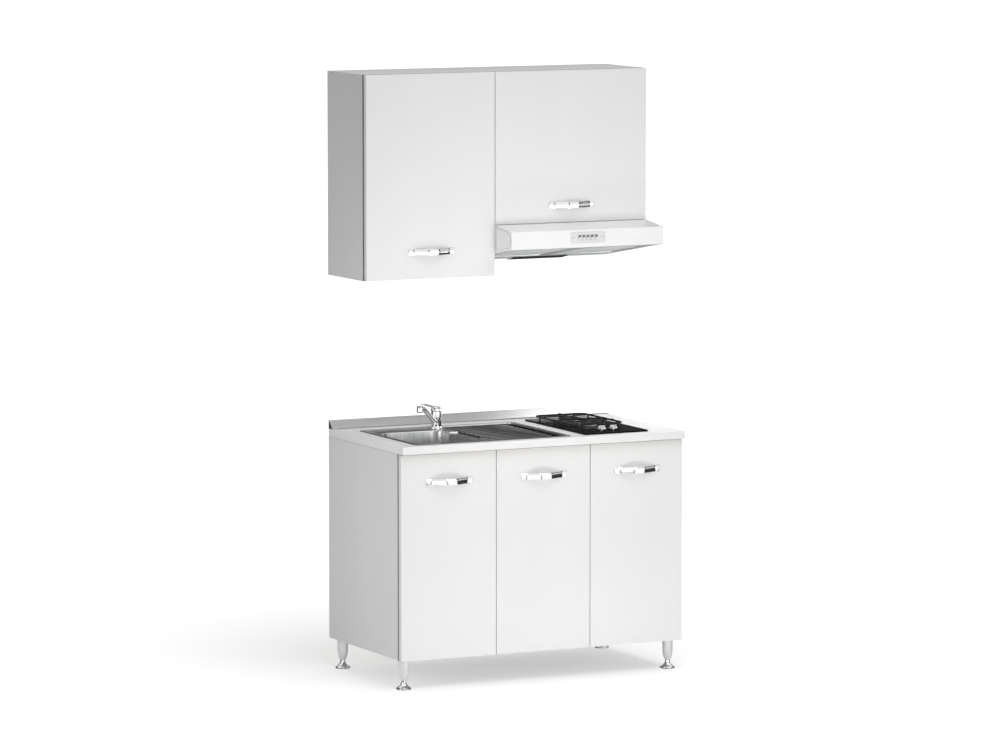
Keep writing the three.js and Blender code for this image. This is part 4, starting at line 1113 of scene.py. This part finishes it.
class KITCHENETTE_OT_waste(PieceOperator, bpy.types.Operator):
    """Waste, bottle trap, outlet pipe and ribbed overflow hose under the bowl, and the basket strainer"""
    bl_idname = "kitchenette.waste"
    bl_label = "Waste and strainer"

    def execute(self, context):
        x, y = centre("sink_strainer").xy
        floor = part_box("sink")[0].z + SHEET
        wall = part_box("sink_trap")[1].y
        place = (x, y, floor)
        axis = tilt(-90, "X")
        flange = turned("waste_flange", in_mm((25.6, -38), (29.4, -38), (29.4, 0.35), (39.2, 0.35),
                                              (40, 0.8), (39.2, 1.4), (33, 1.8), (26.4, 1.4), (25.6, 0.6),
                                              (25.6, -36), (11.5, -37)), place)
        lay(flange, "chrome", "cabinet", "chrome")
        under = -SHEET - 0.3 * MM
        bottle = turned("bottle", in_mm((26, -187), (28, -186.6), (33.4, -179.6), (34, -178), (34, -150),
                                        (33, -149), (33, -147), (34, -146), (34, -112), (33, -109.6),
                                        (30, -105.6), (22, -100), (20, -97), (20, -60), (21, -59),
                                        (25, -58.6), (26, -57), (26, -49), (27, -46.5), (32, -43.4),
                                        (33, -41.6))
                        + in_mm((33, -14), (36.4, -12.6), (37, -12), (37, -0.6), (36.4, 0), (30, 0), z=under),
                        place)
        ribs = [self.ribbed(37.4 * MM, -172 * MM, -154 * MM, place, 32),
                self.ribbed(27.2 * MM, -75 * MM, -61 * MM, place, 26)]
        pipe_at = (x, y, floor - 130 * MM)
        reach = wall - y
        pipe = turned("pipe", in_mm((18, 25), (20, 25))
                      + in_mm((20, -1), (19.4, 0), (17.4, 0), (17.4, -30), (1, -31), z=reach),
                      pipe_at, bend=axis)
        collar = self.ribbed(26 * MM, 28 * MM, 52 * MM, pipe_at, 24, axis)
        rosette = turned("rosette", in_mm((21, -6), (21.8, -8.5), (19, -8.5), z=reach), pipe_at, bend=axis)
        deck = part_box("sink")[1].z
        wall_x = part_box("sink")[0].x + BOWL_LEFT - SHEET - 0.3 * MM
        top = deck - OVERFLOW_DOWN
        route = [(wall_x - 5 * MM, y, top), (wall_x - 22 * MM, y, top - 14 * MM),
                 (wall_x - 24 * MM, y, top - 60 * MM), (wall_x - 6 * MM, y, floor - 22 * MM),
                 (x - 60 * MM, y, floor - 32 * MM), (x - 29 * MM, y, floor - 34 * MM)]
        hose = self.ribbed_hose(route)
        elbow = turned("elbow", in_mm((15, -10), (17, -9.4), (17, -0.5), (16.4, 0)),
                       (wall_x, y, top), bend=tilt(90, "Y"))
        trap = joined("bottle_trap", bottle, *ribs, pipe, collar, rosette, hose, elbow)
        lay(trap, "white_plastic", "cabinet", "plastic_white", "sink_trap")
        self.strainer(place)
        return {"FINISHED"}

    def ribbed(self, radius, bottom, top, place, ribs, bend=None):
        """A union nut with grip ribs all round."""
        nut = turned("nut", in_mm((-3, 0), (-1.4, 0), (-0.8, 1), r=radius, z=bottom)
                     + in_mm((-0.8, -1), (-1.4, 0), (-3, 0), r=radius, z=top), sides=ribs * 2)
        middle = (bottom + top) / 2
        pick_faces(nut, lambda at, normal: abs(at.z - middle) < MM and every_other(at, ribs * 2))
        step_each(0.25 * MM, 0.7 * MM)
        return put(nut, place, bend)

    def ribbed_hose(self, route):
        """The overflow hose, with its rings as a rising and falling radius."""
        points = [Vector(p) for p in route]
        places = []
        for a, b in zip(points, points[1:]):
            count = max(2, round((b - a).length / (1.6 * MM)))
            places += [a.lerp(b, i / count) for i in range(count)]
        places.append(points[-1])
        for _ in range(60):
            eased = [(a + b * 2 + c) / 4 for a, b, c in zip(places, places[1:], places[2:])]
            places = [places[0], *eased, places[-1]]
        radii = [1.0 if i % 3 else 0.82 for i in range(len(places))]
        return drawn("hose", places, 8 * MM, 16, radii, 2)

    def strainer(self, place):
        lift, sides = 2.1 * MM, 48
        basket = turned("basket_strainer", in_mm((20, -16), (21.6, -15.6), (22, -15), (23.8, -0.6),
                                                 (24.4, 0), (28.6, 0), (29, 0.5), (28.4, 1.2), (22.6, 1.4),
                                                 (22, 0.8), (20.2, -13.6), (18.5, -14.2), (15.5, -14.2),
                                                 (11.5, -14.2), (7.5, -14.2), (4, -14.2), (3.5, -13.4),
                                                 (3.5, 7), (4.4, 8.6), (6.6, 10), (7.1, 11.6), (6.8, 13.4),
                                                 (5, 14.6), (0.6, 15), z=lift), sides=sides)

        def holes(at, normal):
            on_floor = normal.z > 0.9 and at.z < lift - 13 * MM
            return on_floor and 5 * MM < at.xy.length < 18 * MM and every_other(at, sides)

        pick_faces(basket, holes)
        step_each(0.22 * MM, -1.1 * MM)
        lay(smooth(put(basket, place), 28), "chrome", "sink_strainer", "chrome", "sink_strainer")


# ---------------------------------------------------------------- tap

class KITCHENETTE_OT_tap(PieceOperator, bpy.types.Operator):
    """Mixer tap: base and column, rising spout with its outlet, dome and lever"""
    bl_idname = "kitchenette.tap"
    bl_label = "Tap"

    column = 18.5 * MM
    core = 13.8 * MM
    sleeve_top = 36 * MM
    dome = 57 * MM
    reach = 138 * MM
    rise = 90 * MM
    slope = 12

    def execute(self, context):
        at = centre("tap_body")
        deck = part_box("sink")[1].z
        self.stand = Matrix.Translation((at.x, at.y, deck)) @ tilt(220, "Z")
        self.body()
        self.spout()
        self.dome_cap()
        self.lever()
        return {"FINISHED"}

    def erect(self, piece, finish, body, *nodes):
        lay(put(piece, bend=self.stand), finish, body, "chrome", *nodes)

    def body(self):
        core = self.core
        piece = turned("mixer_body", in_mm(
            (7, -45), (9.5, -44), (9.5, 0.3), (22.6, 0.3), (23.7, 0.6), (24, 1.4), (24, 2.9), (23.6, 4),
            (22.6, 5), (21.2, 6), (20.6, 7.2), (20.2, 8)) + in_mm((0, 8), r=core)
            + in_mm((0, -0.8), (-0.6, -0.3), r=core, z=self.sleeve_top))
        self.erect(piece, "chrome", "cabinet", "tap_body")

    def spout(self):
        inner, column, top = self.core + 0.5 * MM, self.column, self.sleeve_top
        sleeve = turned("sleeve", [
            (inner, 8.6 * MM), *in_mm((-0.7, 8.4), (0, 9.2), r=column),
            *in_mm((0, -5.4), (-0.5, -5), (-0.5, -4.4), (0, -4), (0, -0.8), (-0.7, 0), r=column, z=top),
            (inner, top), (inner - 0.1 * MM, 9 * MM)])
        # reach, height and thickness along the spout
        course = ((14.6, 22.5, 1.16), (22, 26, 1.1), (34, 32.5, 1.03), (52, 44.5, 0.97), (76, 62, 0.93),
                  (100, 76, 0.92), (120, 83, 0.93), (132, 86, 0.95), (138, 86.4, 0.95))
        arm = drawn("arm", [(x * MM, 0, z * MM) for x, z, _ in course], 9.5 * MM, 32,
                    [share for _, _, share in course], 8)
        lean = tilt(-7.4, "Y")
        outlet = turned("outlet", in_mm((9.6, -18), (10.9, -17.6), (11.4, -16.8), (11.4, -9), (10.9, -8.5),
                                        (10.9, -8), (11.4, -7.5), (11.5, 0), (11, 2.6), (9.4, 4.2),
                                        (6, 5.2), (0.6, 5.4)),
                        (self.reach, 0, self.rise), 48, lean)
        mouth = turned("mixer_aerator", in_mm((8.9, -20.4), (9.5, -20.2), (9.6, -17.8)),
                       (self.reach, 0, self.rise), 40, lean)
        self.erect(joined("mixer_spout", sleeve, arm, outlet), "chrome", "tap_spout", "tap_spout")
        self.erect(mouth, "rubber", "tap_spout")

    def ball(self, radius, count, first, last):
        """Steps up a sphere about the dome's centre."""
        return [(max(0.5 * MM, radius * math.cos(a)), self.dome + radius * math.sin(a))
                for a in arc(count, first, last)]

    def dome_cap(self):
        column, top = self.column, self.sleeve_top
        profile = in_mm((-1, 0.6), (0, 1.4), r=column, z=top)
        piece = turned("mixer_dome", profile + self.ball(column, 12, 0, 90))
        self.erect(piece, "chrome", "tap_dome", "tap_dome")

    def lever(self):
        outer, inner, cut = self.column + 4.2 * MM, self.column + 0.8 * MM, 7.5 * MM
        a0, b0 = math.degrees(math.asin(cut / outer)), math.degrees(math.asin(cut / inner))
        cap = turned("cap", self.ball(inner, 10, 90, b0) + self.ball(outer, 12, a0, 90))
        base = self.dome + self.column - 5 * MM
        paddle = brick("paddle", (2 * MM, -5.8 * MM, 0), (6 * MM, 5.8 * MM, 6.5 * MM))
        # reach, half width and thickness along the lever
        steps = ((14, 6.1, 6.5), (30, 6.5, 6.5), (50, 6.6, 6.4), (70, 6.8, 6.2), (88, 7.6, 6.0),
                 (104, 8.5, 5.8), (114, 8.9, 5.6), (119, 8.4, 5.2), (122, 6.6, 4.6))
        x, half, thick = 6.0, 5.8, 6.5
        pick_faces(paddle, to_the_right)
        for nx, nhalf, nthick in steps:
            draw_out((nx - x) * MM, 0, 0)
            bpy.ops.transform.resize(value=(1, nhalf / half, nthick / thick),
                                     center_override=(nx * MM, 0, 6.5 * MM))
            x, half, thick = nx, nhalf, nthick
        leave_edit()
        outward(paddle)
        round_edges(paddle, 1.9 * MM, 4, 40)
        put(paddle, bend=Matrix.Translation((0, 0, base)) @ tilt(-self.slope, "Y"))
        combine(paddle, turned("hollow", self.ball(inner, 16, -88, 88)), "DIFFERENCE")
        piece = joined("mixer_lever", smooth(cap), smooth(paddle, 35))
        self.erect(piece, "chrome", "tap_lever", "tap_lever")
        mark = turned("temperature_mark", in_mm((2.4, 0), (2.4, 0.35), (2, 0.5)),
                      (0, 0, 0), 24, tilt(-90 - 40, "Y"))
        a = math.radians(140)
        away = outer - 0.25 * MM
        put(mark, (away * math.cos(a), 0, self.dome + away * math.sin(a)))
        self.erect(mark, "grey_plastic", "tap_lever")


# ---------------------------------------------------------------- hob

class KITCHENETTE_OT_hob(PieceOperator, bpy.types.Operator):
    """Hob glass and the steel box under it"""
    bl_idname = "kitchenette.hob"
    bl_label = "Hob"

    def execute(self, context):
        glass = from_solid("hob_glass", "hob_glass_plate", 0.9 * MM, 3)
        lay(glass, "glass", "cabinet", "hob_glass", "hob_glass")
        box = from_solid("hob_tray", "hob_steel_box", 0.3 * MM)
        lay(box, "zinc", "cabinet", "hob_tray", "hob_tray")
        return {"FINISHED"}


class KITCHENETTE_OT_burners(PieceOperator, bpy.types.Operator):
    """Burner rings with flame ports, their caps and the spark pins beside them"""
    bl_idname = "kitchenette.burners"
    bl_label = "Burners"

    def execute(self, context):
        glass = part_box("hob_glass")[1].z
        for place in ("front", "rear"):
            low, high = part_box(f"hob_burner_{place}")
            at = (low + high) / 2
            wide = (high.x - low.x) / 2
            r = wide - 3 * MM
            top = high.z - glass
            ports = 30 if place == "rear" else 24
            ring = turned(f"burner_ring_{place}", [
                *in_mm((15, -24), (16, -23), (16, 0.3)),
                *in_mm((-0.6, 0.3), (0, 0.9), (0, 2.6), (-0.8, 3.3), r=wide),
                *in_mm((-2.4, 4.4), (-3, 4.8), r=r),
                *in_mm((-3, -3), (-2.4, -2.4), (-0.6, -2), (0, -1.5), (0, -0.4), (-0.5, 0), r=r, z=top)],
                sides=ports * 2)
            middle = (4.8 * MM + top - 3.0 * MM) / 2

            pick_faces(ring, lambda at, normal, sides=ports * 2, middle=middle, r=r:
                       abs(at.z - middle) < 0.8 * MM and at.xy.length > r - 4 * MM and every_other(at, sides))
            step_each(0.25 * MM, -2.2 * MM)
            put(ring, (at.x, at.y, glass))
            lay(ring, "burner", "cabinet", "burner", f"hob_burner_{place}")
            low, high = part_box(f"hob_cap_{place}")
            wide, z0, z1 = (high.x - low.x) / 2, low.z - glass, high.z - glass
            cap = turned(f"burner_cap_{place}", [
                *in_mm((-1.2, 0), (-0.3, 0.3), (0, 1), r=wide, z=z0),
                *in_mm((0, -2.4), (-0.5, -1.4), (-1.6, -0.5), (-3.4, -0.1), (-6, 0), r=wide, z=z1),
                (wide * 0.55, z1 - 0.25 * MM), (wide * 0.5, z1 - 0.55 * MM), (1 * MM, z1 - 0.6 * MM)],
                (at.x, at.y, glass))
            lay(cap, "black", "cabinet", "enamel_black", f"hob_cap_{place}")
            self.spark_pin(place, at, r + 9 * MM, glass)
        return {"FINISHED"}

    def spark_pin(self, place, at, away, glass):
        a = math.radians(135)
        x, y = at.x + away * math.cos(a), at.y + away * math.sin(a)
        body = turned("pin", in_mm((2.8, 0.2), (3.4, 0.5), (3.4, 1.4), (2.6, 1.9), (2.2, 2.2), (2.1, 6.4),
                                   (1.7, 6.9)), (x, y, glass), 24)
        tip = turned("tip", in_mm((0.7, 6.5), (0.7, 9.2), (0.4, 9.6)), (x, y, glass), 16)
        pin = joined(f"spark_pin_{place}", body, tip)
        lay(pin, "white_plastic zinc", "cabinet", "burner",
            test=lambda at, normal: 1 if at.z > glass + 6.6 * MM else 0)


class KITCHENETTE_OT_pan_support(PieceOperator, bpy.types.Operator):
    """Cast pan support over both burners"""
    bl_idname = "kitchenette.pan_support"
    bl_label = "Pan support"

    def execute(self, context):
        grid = from_solid("pan_support", "pan_support_grid", 0.9 * MM, 2)
        lay(grid, "black", "pan_support", "iron_black", "pan_support")
        return {"FINISHED"}


class KITCHENETTE_OT_knobs(PieceOperator, bpy.types.Operator):
    """Hob knobs with a grip across each and a dark pointer line, on their stems"""
    bl_idname = "kitchenette.knobs"
    bl_label = "Knobs"

    def execute(self, context):
        for side in ("left", "right"):
            node = f"hob_knob_{side}"
            low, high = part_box(node)
            at = (low + high) / 2
            wide = (high.x - low.x) / 2
            tall = high.z - low.z
            skirt = turned("skirt", [
                *in_mm((4.6, 8), (4.6, 0.3)),
                *in_mm((-0.7, 0), (0, 0.7), (0, 2.2), (-0.5, 3), (-2.2, 4.4), (-3.2, 5.6), (-4.2, 6.8),
                       (-5.2, 7), r=wide), (1 * MM, 7.2 * MM)])
            grip = brick("grip", (-wide + 3.2 * MM, -4 * MM, 5 * MM), (wide - 3.2 * MM, 4 * MM, tall))
            pick_faces(grip, upward)
            bpy.ops.transform.resize(value=(0.9, 0.72, 1), center_override=(0, 0, tall))
            leave_edit()
            round_edges(grip, 1.5 * MM, 4, 30)
            knob = joined(f"gas_knob_{side}", skirt, smooth(grip, 40))
            lay(put(knob, (at.x, at.y, low.z)), "knob", node, "chrome", node)
            line = brick(f"knob_pointer_{side}", (at.x - 0.7 * MM, at.y, high.z - 0.25 * MM),
                         (at.x + 0.7 * MM, at.y + 2.4 * MM, high.z - 0.02 * MM))
            round_edges(line, 0.1 * MM, 1)
            lay(smooth(line), "rubber", node, "chrome")
            stem = from_solid(f"hob_stem_{side}", f"gas_stem_{side}", 0.3 * MM)
            lay(stem, "zinc", f"hob_stem_{side}", "steel", f"hob_stem_{side}")
        return {"FINISHED"}


# ---------------------------------------------------------------- hood

class KITCHENETTE_OT_hood(PieceOperator, bpy.types.Operator):
    """Hood shell with its sloping visor and the ribbed lamp cover"""
    bl_idname = "kitchenette.hood"
    bl_label = "Hood"

    def execute(self, context):
        shell = from_solid("hood_shell", "hood_casing", context.scene.kitchenette_edges.hood, 3, 4, True)
        low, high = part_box("hood_shell")
        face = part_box("hood_control_plate")
        middle = (face[0].z + face[1].z) / 2
        front, tall = low.y + 9 * MM, 23 * MM
        bend, rear = front + 26 * MM, low.y + 124 * MM
        # the front half of a six-sided outline on each cheek, where the hood stands clear of the cabinets
        outline = ((rear, tall + 14 * MM), (bend, tall + 4 * MM), (front, tall - 14 * MM),
                   (front, -tall + 10 * MM), (bend, -tall - 8 * MM), (rear, -tall - 18 * MM))
        for x in (low.x, high.x):
            for (y0, z0), (y1, z1) in zip(outline, outline[1:]):
                self.groove(shell, x, (y0, middle + z0), (y1, middle + z1))

        # painted shade: the walls and floors of the shallow grooves take the darker zinc finish, as lines of
        # shade
        def grey(at, normal):
            side = min(at.x - low.x, high.x - at.x)
            return 1 if 0.15 * MM < side < 0.6 * MM and low.y + 5 * MM < at.y < rear + 3 * MM else 0

        lay(smooth(shell, 4), "hood zinc", "cabinet", "hood_white", "hood_shell", test=grey)
        lamp = from_solid("hood_lamp_cover", "hood_lamp_lens", 0.8 * MM, 2)
        # painted shade: the lamp cover's front faces are black, as a dark line of shade along it
        lay(lamp, "lens rubber", "cabinet", "lens", "hood_lamp_cover",
            test=lambda at, normal: 1 if normal.y < -0.2 else 0)
        return {"FINISHED"}

    def groove(self, shell, x, first, last):
        """One straight stroke of a shallow groove pressed into a cheek."""
        run = math.hypot(last[0] - first[0], last[1] - first[1])
        turn = math.atan2(last[1] - first[1], last[0] - first[0])
        deep, half = 0.5 * MM, 1.2 * MM
        stroke = brick("stroke", (-deep, -run / 2 - half, -half), (deep, run / 2 + half, half))
        middle = Matrix.Translation((x, (first[0] + last[0]) / 2, (first[1] + last[1]) / 2))
        combine(shell, put(stroke, bend=middle @ Matrix.Rotation(turn, 4, "X")), "DIFFERENCE")


UNDERSIDE_SLOPE = 72 / 450


class KITCHENETTE_OT_filters(PieceOperator, bpy.types.Operator):
    """Grease filters: a frame round a lattice of expanded metal, with a latch at the front"""
    bl_idname = "kitchenette.filters"
    bl_label = "Hood filters"

    rim = 14 * MM
    thick = 8 * MM
    pitch = 9 * MM

    def execute(self, context):
        slope = math.atan(UNDERSIDE_SLOPE)
        for side in ("left", "right"):
            node = f"hood_filter_{side}"
            low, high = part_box(node)
            wide = high.x - low.x
            run = (high.y - low.y) / math.cos(slope)
            frame_bars = self.bars(wide, run)
            mesh = self.lattice(wide - 2 * self.rim + 4 * MM, run - 2 * self.rim + 4 * MM)
            latch = brick("latch", (-16 * MM, 3 * MM - run / 2, -0.3 * MM),
                          (16 * MM, 11 * MM - run / 2, 1.4 * MM))
            pick_faces(latch, lambda at, normal: normal.z < -0.9)
            step_in(1.6 * MM, 0)
            draw_out(0, 0, 1.0 * MM)
            leave_edit()
            round_edges(latch, 0.3 * MM, 2)
            piece = joined(f"grease_filter_{side}", frame_bars, mesh, smooth(latch))
            # the frame's lower face lies on the hood's underside, which falls towards the wall
            middle = (low + high) / 2 - Vector((0, 0, self.thick / 2))
            put(piece, bend=Matrix.Translation(middle) @ Matrix.Rotation(-slope, 4, "X"))
            lay(smooth(piece, 30), "filter", node, "filter", node)
        return {"FINISHED"}

    def bars(self, wide, run):
        ring = brick("frame_bars", (-wide / 2, -run / 2, 0), (wide / 2, run / 2, self.thick))
        for sign in (1, -1):
            pick_faces(ring, lambda at, normal, s=sign: normal.z * s > 0.9)
            step_in(self.rim, 0)
            draw_out(0, 0, -sign * 3.2 * MM)
            leave_edit()
        pick_faces(ring, lambda at, normal: abs(normal.z) > 0.9 and abs(at.x) < wide / 2 - self.rim
                   and abs(at.y) < run / 2 - self.rim)
        bpy.ops.mesh.bridge_edge_loops()
        leave_edit()
        outward(ring)
        return round_edges(ring, 0.7 * MM, 2, 40)

    def lattice(self, wide, run):
        """Crossed strands of expanded metal, cut to the frame."""
        span = math.hypot(wide, run) + 2 * self.pitch
        cells = int(span / self.pitch)
        clear_selection()
        bpy.ops.mesh.primitive_grid_add(x_subdivisions=cells, y_subdivisions=cells, size=cells * self.pitch,
                                        rotation=(0, 0, math.radians(45)))
        net = named("lattice")
        settle(net)
        net.scale = (1, 0.72, 1)
        settle(net)
        for point, normal in (((wide / 2, 0, 0), (1, 0, 0)), ((-wide / 2, 0, 0), (-1, 0, 0)),
                              ((0, run / 2, 0), (0, 1, 0)), ((0, -run / 2, 0), (0, -1, 0))):
            edit_all(net)
            bpy.ops.mesh.bisect(plane_co=point, plane_no=normal, clear_outer=True)
            leave_edit()
        apply_modifier(net, "WIREFRAME", thickness=1.1 * MM, use_even_offset=False, use_replace=True)
        net.location.z = self.thick / 2
        return settle(net)


class KITCHENETTE_OT_controls(PieceOperator, bpy.types.Operator):
    """Control plate of the hood and its five push switches"""
    bl_idname = "kitchenette.controls"
    bl_label = "Hood controls"

    def execute(self, context):
        plate = from_solid("hood_control_plate", "control_plate", 1.1 * MM, 2)
        low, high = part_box("hood_control_plate")
        # painted shade: the plate's rounded edges and sides take the darker zinc finish, as a line of shade
        # round it
        lay(plate, "white_plastic zinc", "cabinet", "plastic_white", "hood_control_plate",
            test=lambda at, normal: int(normal.y > -0.95))
        lamps = [turned("pilot", in_mm((1.8, 0.4), (1.8, -0.3), (1.2, -0.6)),
                        (x, low.y, (low.z + high.z) / 2), 24, tilt(90, "X"))
                 for x in (low.x + 9 * MM, high.x - 9 * MM)]
        lay(joined("pilot_lamps", *lamps), "grey_plastic", "cabinet", "plastic_white")
        for number in range(1, 6):
            node = f"hood_button_{number}"
            switch = from_solid(node, f"push_switch_{number}", 0.5 * MM, 2)
            middle = centre(node).z
            # painted shade: the upper half of each switch's front is grey, as the shaded side of its rocker
            lay(switch, "white_plastic grey_plastic", node, "plastic_grey", node,
                test=lambda at, normal, z=middle: 1 if normal.y < -0.5 and at.z > z else 0)
        return {"FINISHED"}


# ---------------------------------------------------------------- stage

CAMERA_PLACE = (-8.323, -16.805, 3.089)
CAMERA_LOOKS = (0.4400, 0.8914, -0.1082)
# degrees from straight in front, positive to the right, and how bright polished metal sees the studio there
ROUND_ABOUT = ((-180, 0.08), (-110, 0.08), (-98, 0.60), (-82, 0.80), (-67, 0.12), (-46, 0.10), (-35, 0.62),
               (-28, 1.0), (-16, 1.0), (-11, 0.42), (5, 0.42), (10, 1.0), (40, 1.0), (49, 0.06), (65, 0.06),
               (71, 0.30), (88, 0.36), (96, 0.95), (108, 0.9), (118, 0.08), (180, 0.08))


def flagged(shade):
    """The same tones with another shade of the flag on the right, as it lies on the floor near or far."""
    return tuple((degrees, shade if 45 < degrees < 92 else tone) for degrees, tone in ROUND_ABOUT)


def surroundings(wires, direction, tones=ROUND_ABOUT):
    """Brightness of the studio by the direction seen from the object: pale in front, with dark flags."""
    axes = wires.axes(direction)
    turn = wires.calc("ARCTAN2", axes["X"], wires.calc("MULTIPLY", axes["Y"], -1.0))
    ramp = wires.add("ShaderNodeValToRGB")
    stops = ramp.color_ramp.elements
    while len(stops) < len(tones):
        stops.new(0.5)
    for stop, (degrees, _) in zip(stops, tones):
        stop.position = (degrees + 180) / 360
    for stop, (_, tone) in zip(stops, tones):
        stop.color = (tone, tone, tone, 1)
    wires.link(wires.span(turn, -math.pi, math.pi), ramp.inputs["Fac"])
    return ramp.outputs["Color"]


class KITCHENETTE_OT_stage(PieceOperator, bpy.types.Operator):
    """Camera, pale floor and soft studio light"""
    bl_idname = "kitchenette.stage"
    bl_label = "Stage"

    def execute(self, context):
        settings = context.scene.kitchenette_stage
        context.scene.view_settings.view_transform = "Standard"
        clear_selection()
        bpy.ops.object.camera_add(location=CAMERA_PLACE,
                                  rotation=Vector(CAMERA_LOOKS).to_track_quat("-Z", "Y").to_euler())
        camera = context.active_object
        camera.name = "photo_camera"
        camera.data.lens = settings.lens
        camera.data.sensor_fit = "HORIZONTAL"
        camera.data.sensor_width = 36.0
        camera.data.clip_end = 200.0
        context.scene.camera = camera
        self.floor(settings)
        self.lights(settings)
        self.air(context, settings)
        return {"FINISHED"}

    def floor(self, settings):
        clear_selection()
        bpy.ops.mesh.primitive_plane_add(size=120, location=(0, 0, 0))
        floor = named("studio_floor")
        made = Recipe("Studio_floor", tuple(settings.floor), 0.9, specular=0.0)
        made.tone(made.noise(0.8, 2), 0.995, 1.0, 0.2, 0.8)
        path = made.add("ShaderNodeLightPath").outputs
        length = made.add("ShaderNodeVectorMath", operation="LENGTH")
        made.link(made.place, length.inputs[0])
        away = length.outputs["Value"]
        # to the camera the floor turns white far from the object, and keeps its shadow close by
        glow = made.calc("MULTIPLY", path["Is Camera Ray"], made.span(away, 0.8, 3.0, 0.42, 0.80))
        lit = made.add("ShaderNodeAddShader")
        made.link(made.shader.outputs[0], lit.inputs[0])
        made.link(made.shining(glow), lit.inputs[1])
        # polished metal sees the tone of the surroundings in it
        total = made.add("ShaderNodeMixShader")
        made.link(path["Is Glossy Ray"], total.inputs[0])
        made.link(lit.outputs[0], total.inputs[1])
        made.link(made.shining(self.tone_in_metal(made, away)), total.inputs[2])
        made.link(total.outputs[0], made.tree.nodes["Material Output"].inputs["Surface"])
        floor.data.materials.append(made.material)

    def tone_in_metal(self, made, away):
        """Tones of the surroundings, with the darker ones close by, a little brighter further off."""
        near = surroundings(made, made.place, flagged(0.04))
        far = surroundings(made, made.place, flagged(0.55))
        tones = made.between(made.span(away, 9.0, 11.0), near, far)
        return made.calc("MULTIPLY", tones, made.span(away, 0.7, 2.2, 1.1, 1.35))

    def lights(self, settings):
        # name, power, place, what it is aimed at, width and height, and the angle of its beam
        for name, power, place, target, size, tall, beam in (
                ("key_light", settings.key, (1.1, -4.6, 0.55), (0, 0, 0.7), 2.2, 2.2, 180),
                ("floor_light", settings.low, (0.08, -1.3, 0.05), (0.05, -0.28, 0.12), 1.8, 0.08, 180),
                ("high_light", settings.high, (0.10, -2.2, 1.0), (0.05, -0.15, 1.42), 1.4, 0.4, 60),
                ("top_light", settings.fill, (0.4, -3.0, 5.2), (0, 0, 1.0), 4.0, 3.0, 180),
                ("side_light", settings.side, (-2.6, -0.9, 0.95), (-0.5, 0, 0.5), 0.8, 0.8, 90),
                ("worktop_light", settings.worktop, (0.66, 0.02, 1.34), (0.52, 0.0, 0.86), 0.45, 0.45, 180)):
            clear_selection()
            direction = Vector(target) - Vector(place)
            bpy.ops.object.light_add(type="AREA", location=place,
                                     rotation=direction.to_track_quat("-Z", "Y").to_euler())
            light = bpy.context.active_object
            light.name = name
            light.data.energy = power
            light.data.shape = "RECTANGLE"
            light.data.size = size
            light.data.size_y = tall
            light.data.spread = math.radians(beam)

    def air(self, context, settings):
        """Even light from all round, which polished metal sees as the studio and the camera as white."""
        world = bpy.data.worlds.new("studio_air")
        context.scene.world = world
        world.use_nodes = True
        wires = Wires(world.node_tree)
        path = wires.add("ShaderNodeLightPath").outputs
        where = wires.add("ShaderNodeTexCoord").outputs["Generated"]
        upward = wires.span(wires.axes(where)["Z"], 0.30, 0.75)
        studio = wires.between(upward, surroundings(wires, where), 0.95)
        mirrored = wires.calc("MAXIMUM", path["Is Glossy Ray"], path["Is Transmission Ray"])
        strength = wires.between(mirrored, settings.air, studio)
        back = world.node_tree.nodes["Background"]
        wires.link(wires.between(path["Is Camera Ray"], strength, 1.0), back.inputs["Strength"])
        back.inputs["Color"].default_value = (1, 1, 1, 1)


# ---------------------------------------------------------------- panel and registration

STEPS = (
    KITCHENETTE_OT_stage, KITCHENETTE_OT_base_boards, KITCHENETTE_OT_wall_boards, KITCHENETTE_OT_doors,
    KITCHENETTE_OT_handles, KITCHENETTE_OT_worktop, KITCHENETTE_OT_legs, KITCHENETTE_OT_sink,
    KITCHENETTE_OT_waste, KITCHENETTE_OT_tap, KITCHENETTE_OT_hob, KITCHENETTE_OT_burners,
    KITCHENETTE_OT_pan_support, KITCHENETTE_OT_knobs, KITCHENETTE_OT_hood, KITCHENETTE_OT_filters,
    KITCHENETTE_OT_controls,
)


class KITCHENETTE_PT_panel(bpy.types.Panel):
    """Colours, edges and steps of the kitchenette unit"""
    bl_idname = "KITCHENETTE_PT_panel"
    bl_label = "Kitchenette Unit"
    bl_space_type = "VIEW_3D"
    bl_region_type = "UI"
    bl_category = "Kitchenette"

    def draw(self, context):
        layout = self.layout
        for group in (context.scene.kitchenette_colours, context.scene.kitchenette_edges,
                      context.scene.kitchenette_stage):
            box = layout.box()
            for key in group.bl_rna.properties.keys():
                if key not in ("rna_type", "name"):
                    box.prop(group, key)
        for step in STEPS:
            layout.operator(step.bl_idname)


CLASSES = (KitchenetteColours, KitchenetteEdges, KitchenetteStage, *STEPS, KITCHENETTE_PT_panel)


def register():
    for kind in CLASSES:
        bpy.utils.register_class(kind)
    bpy.types.Scene.kitchenette_colours = PointerProperty(type=KitchenetteColours)
    bpy.types.Scene.kitchenette_edges = PointerProperty(type=KitchenetteEdges)
    bpy.types.Scene.kitchenette_stage = PointerProperty(type=KitchenetteStage)


def unregister():
    del bpy.types.Scene.kitchenette_stage
    del bpy.types.Scene.kitchenette_edges
    del bpy.types.Scene.kitchenette_colours
    for kind in reversed(CLASSES):
        bpy.utils.unregister_class(kind)


def main():
    register()
    mix_finishes()
    for step in STEPS:
        group, action = step.bl_idname.split(".")
        getattr(getattr(bpy.ops, group), action)()
    clear_selection()


if __name__ == "__main__":
    main()
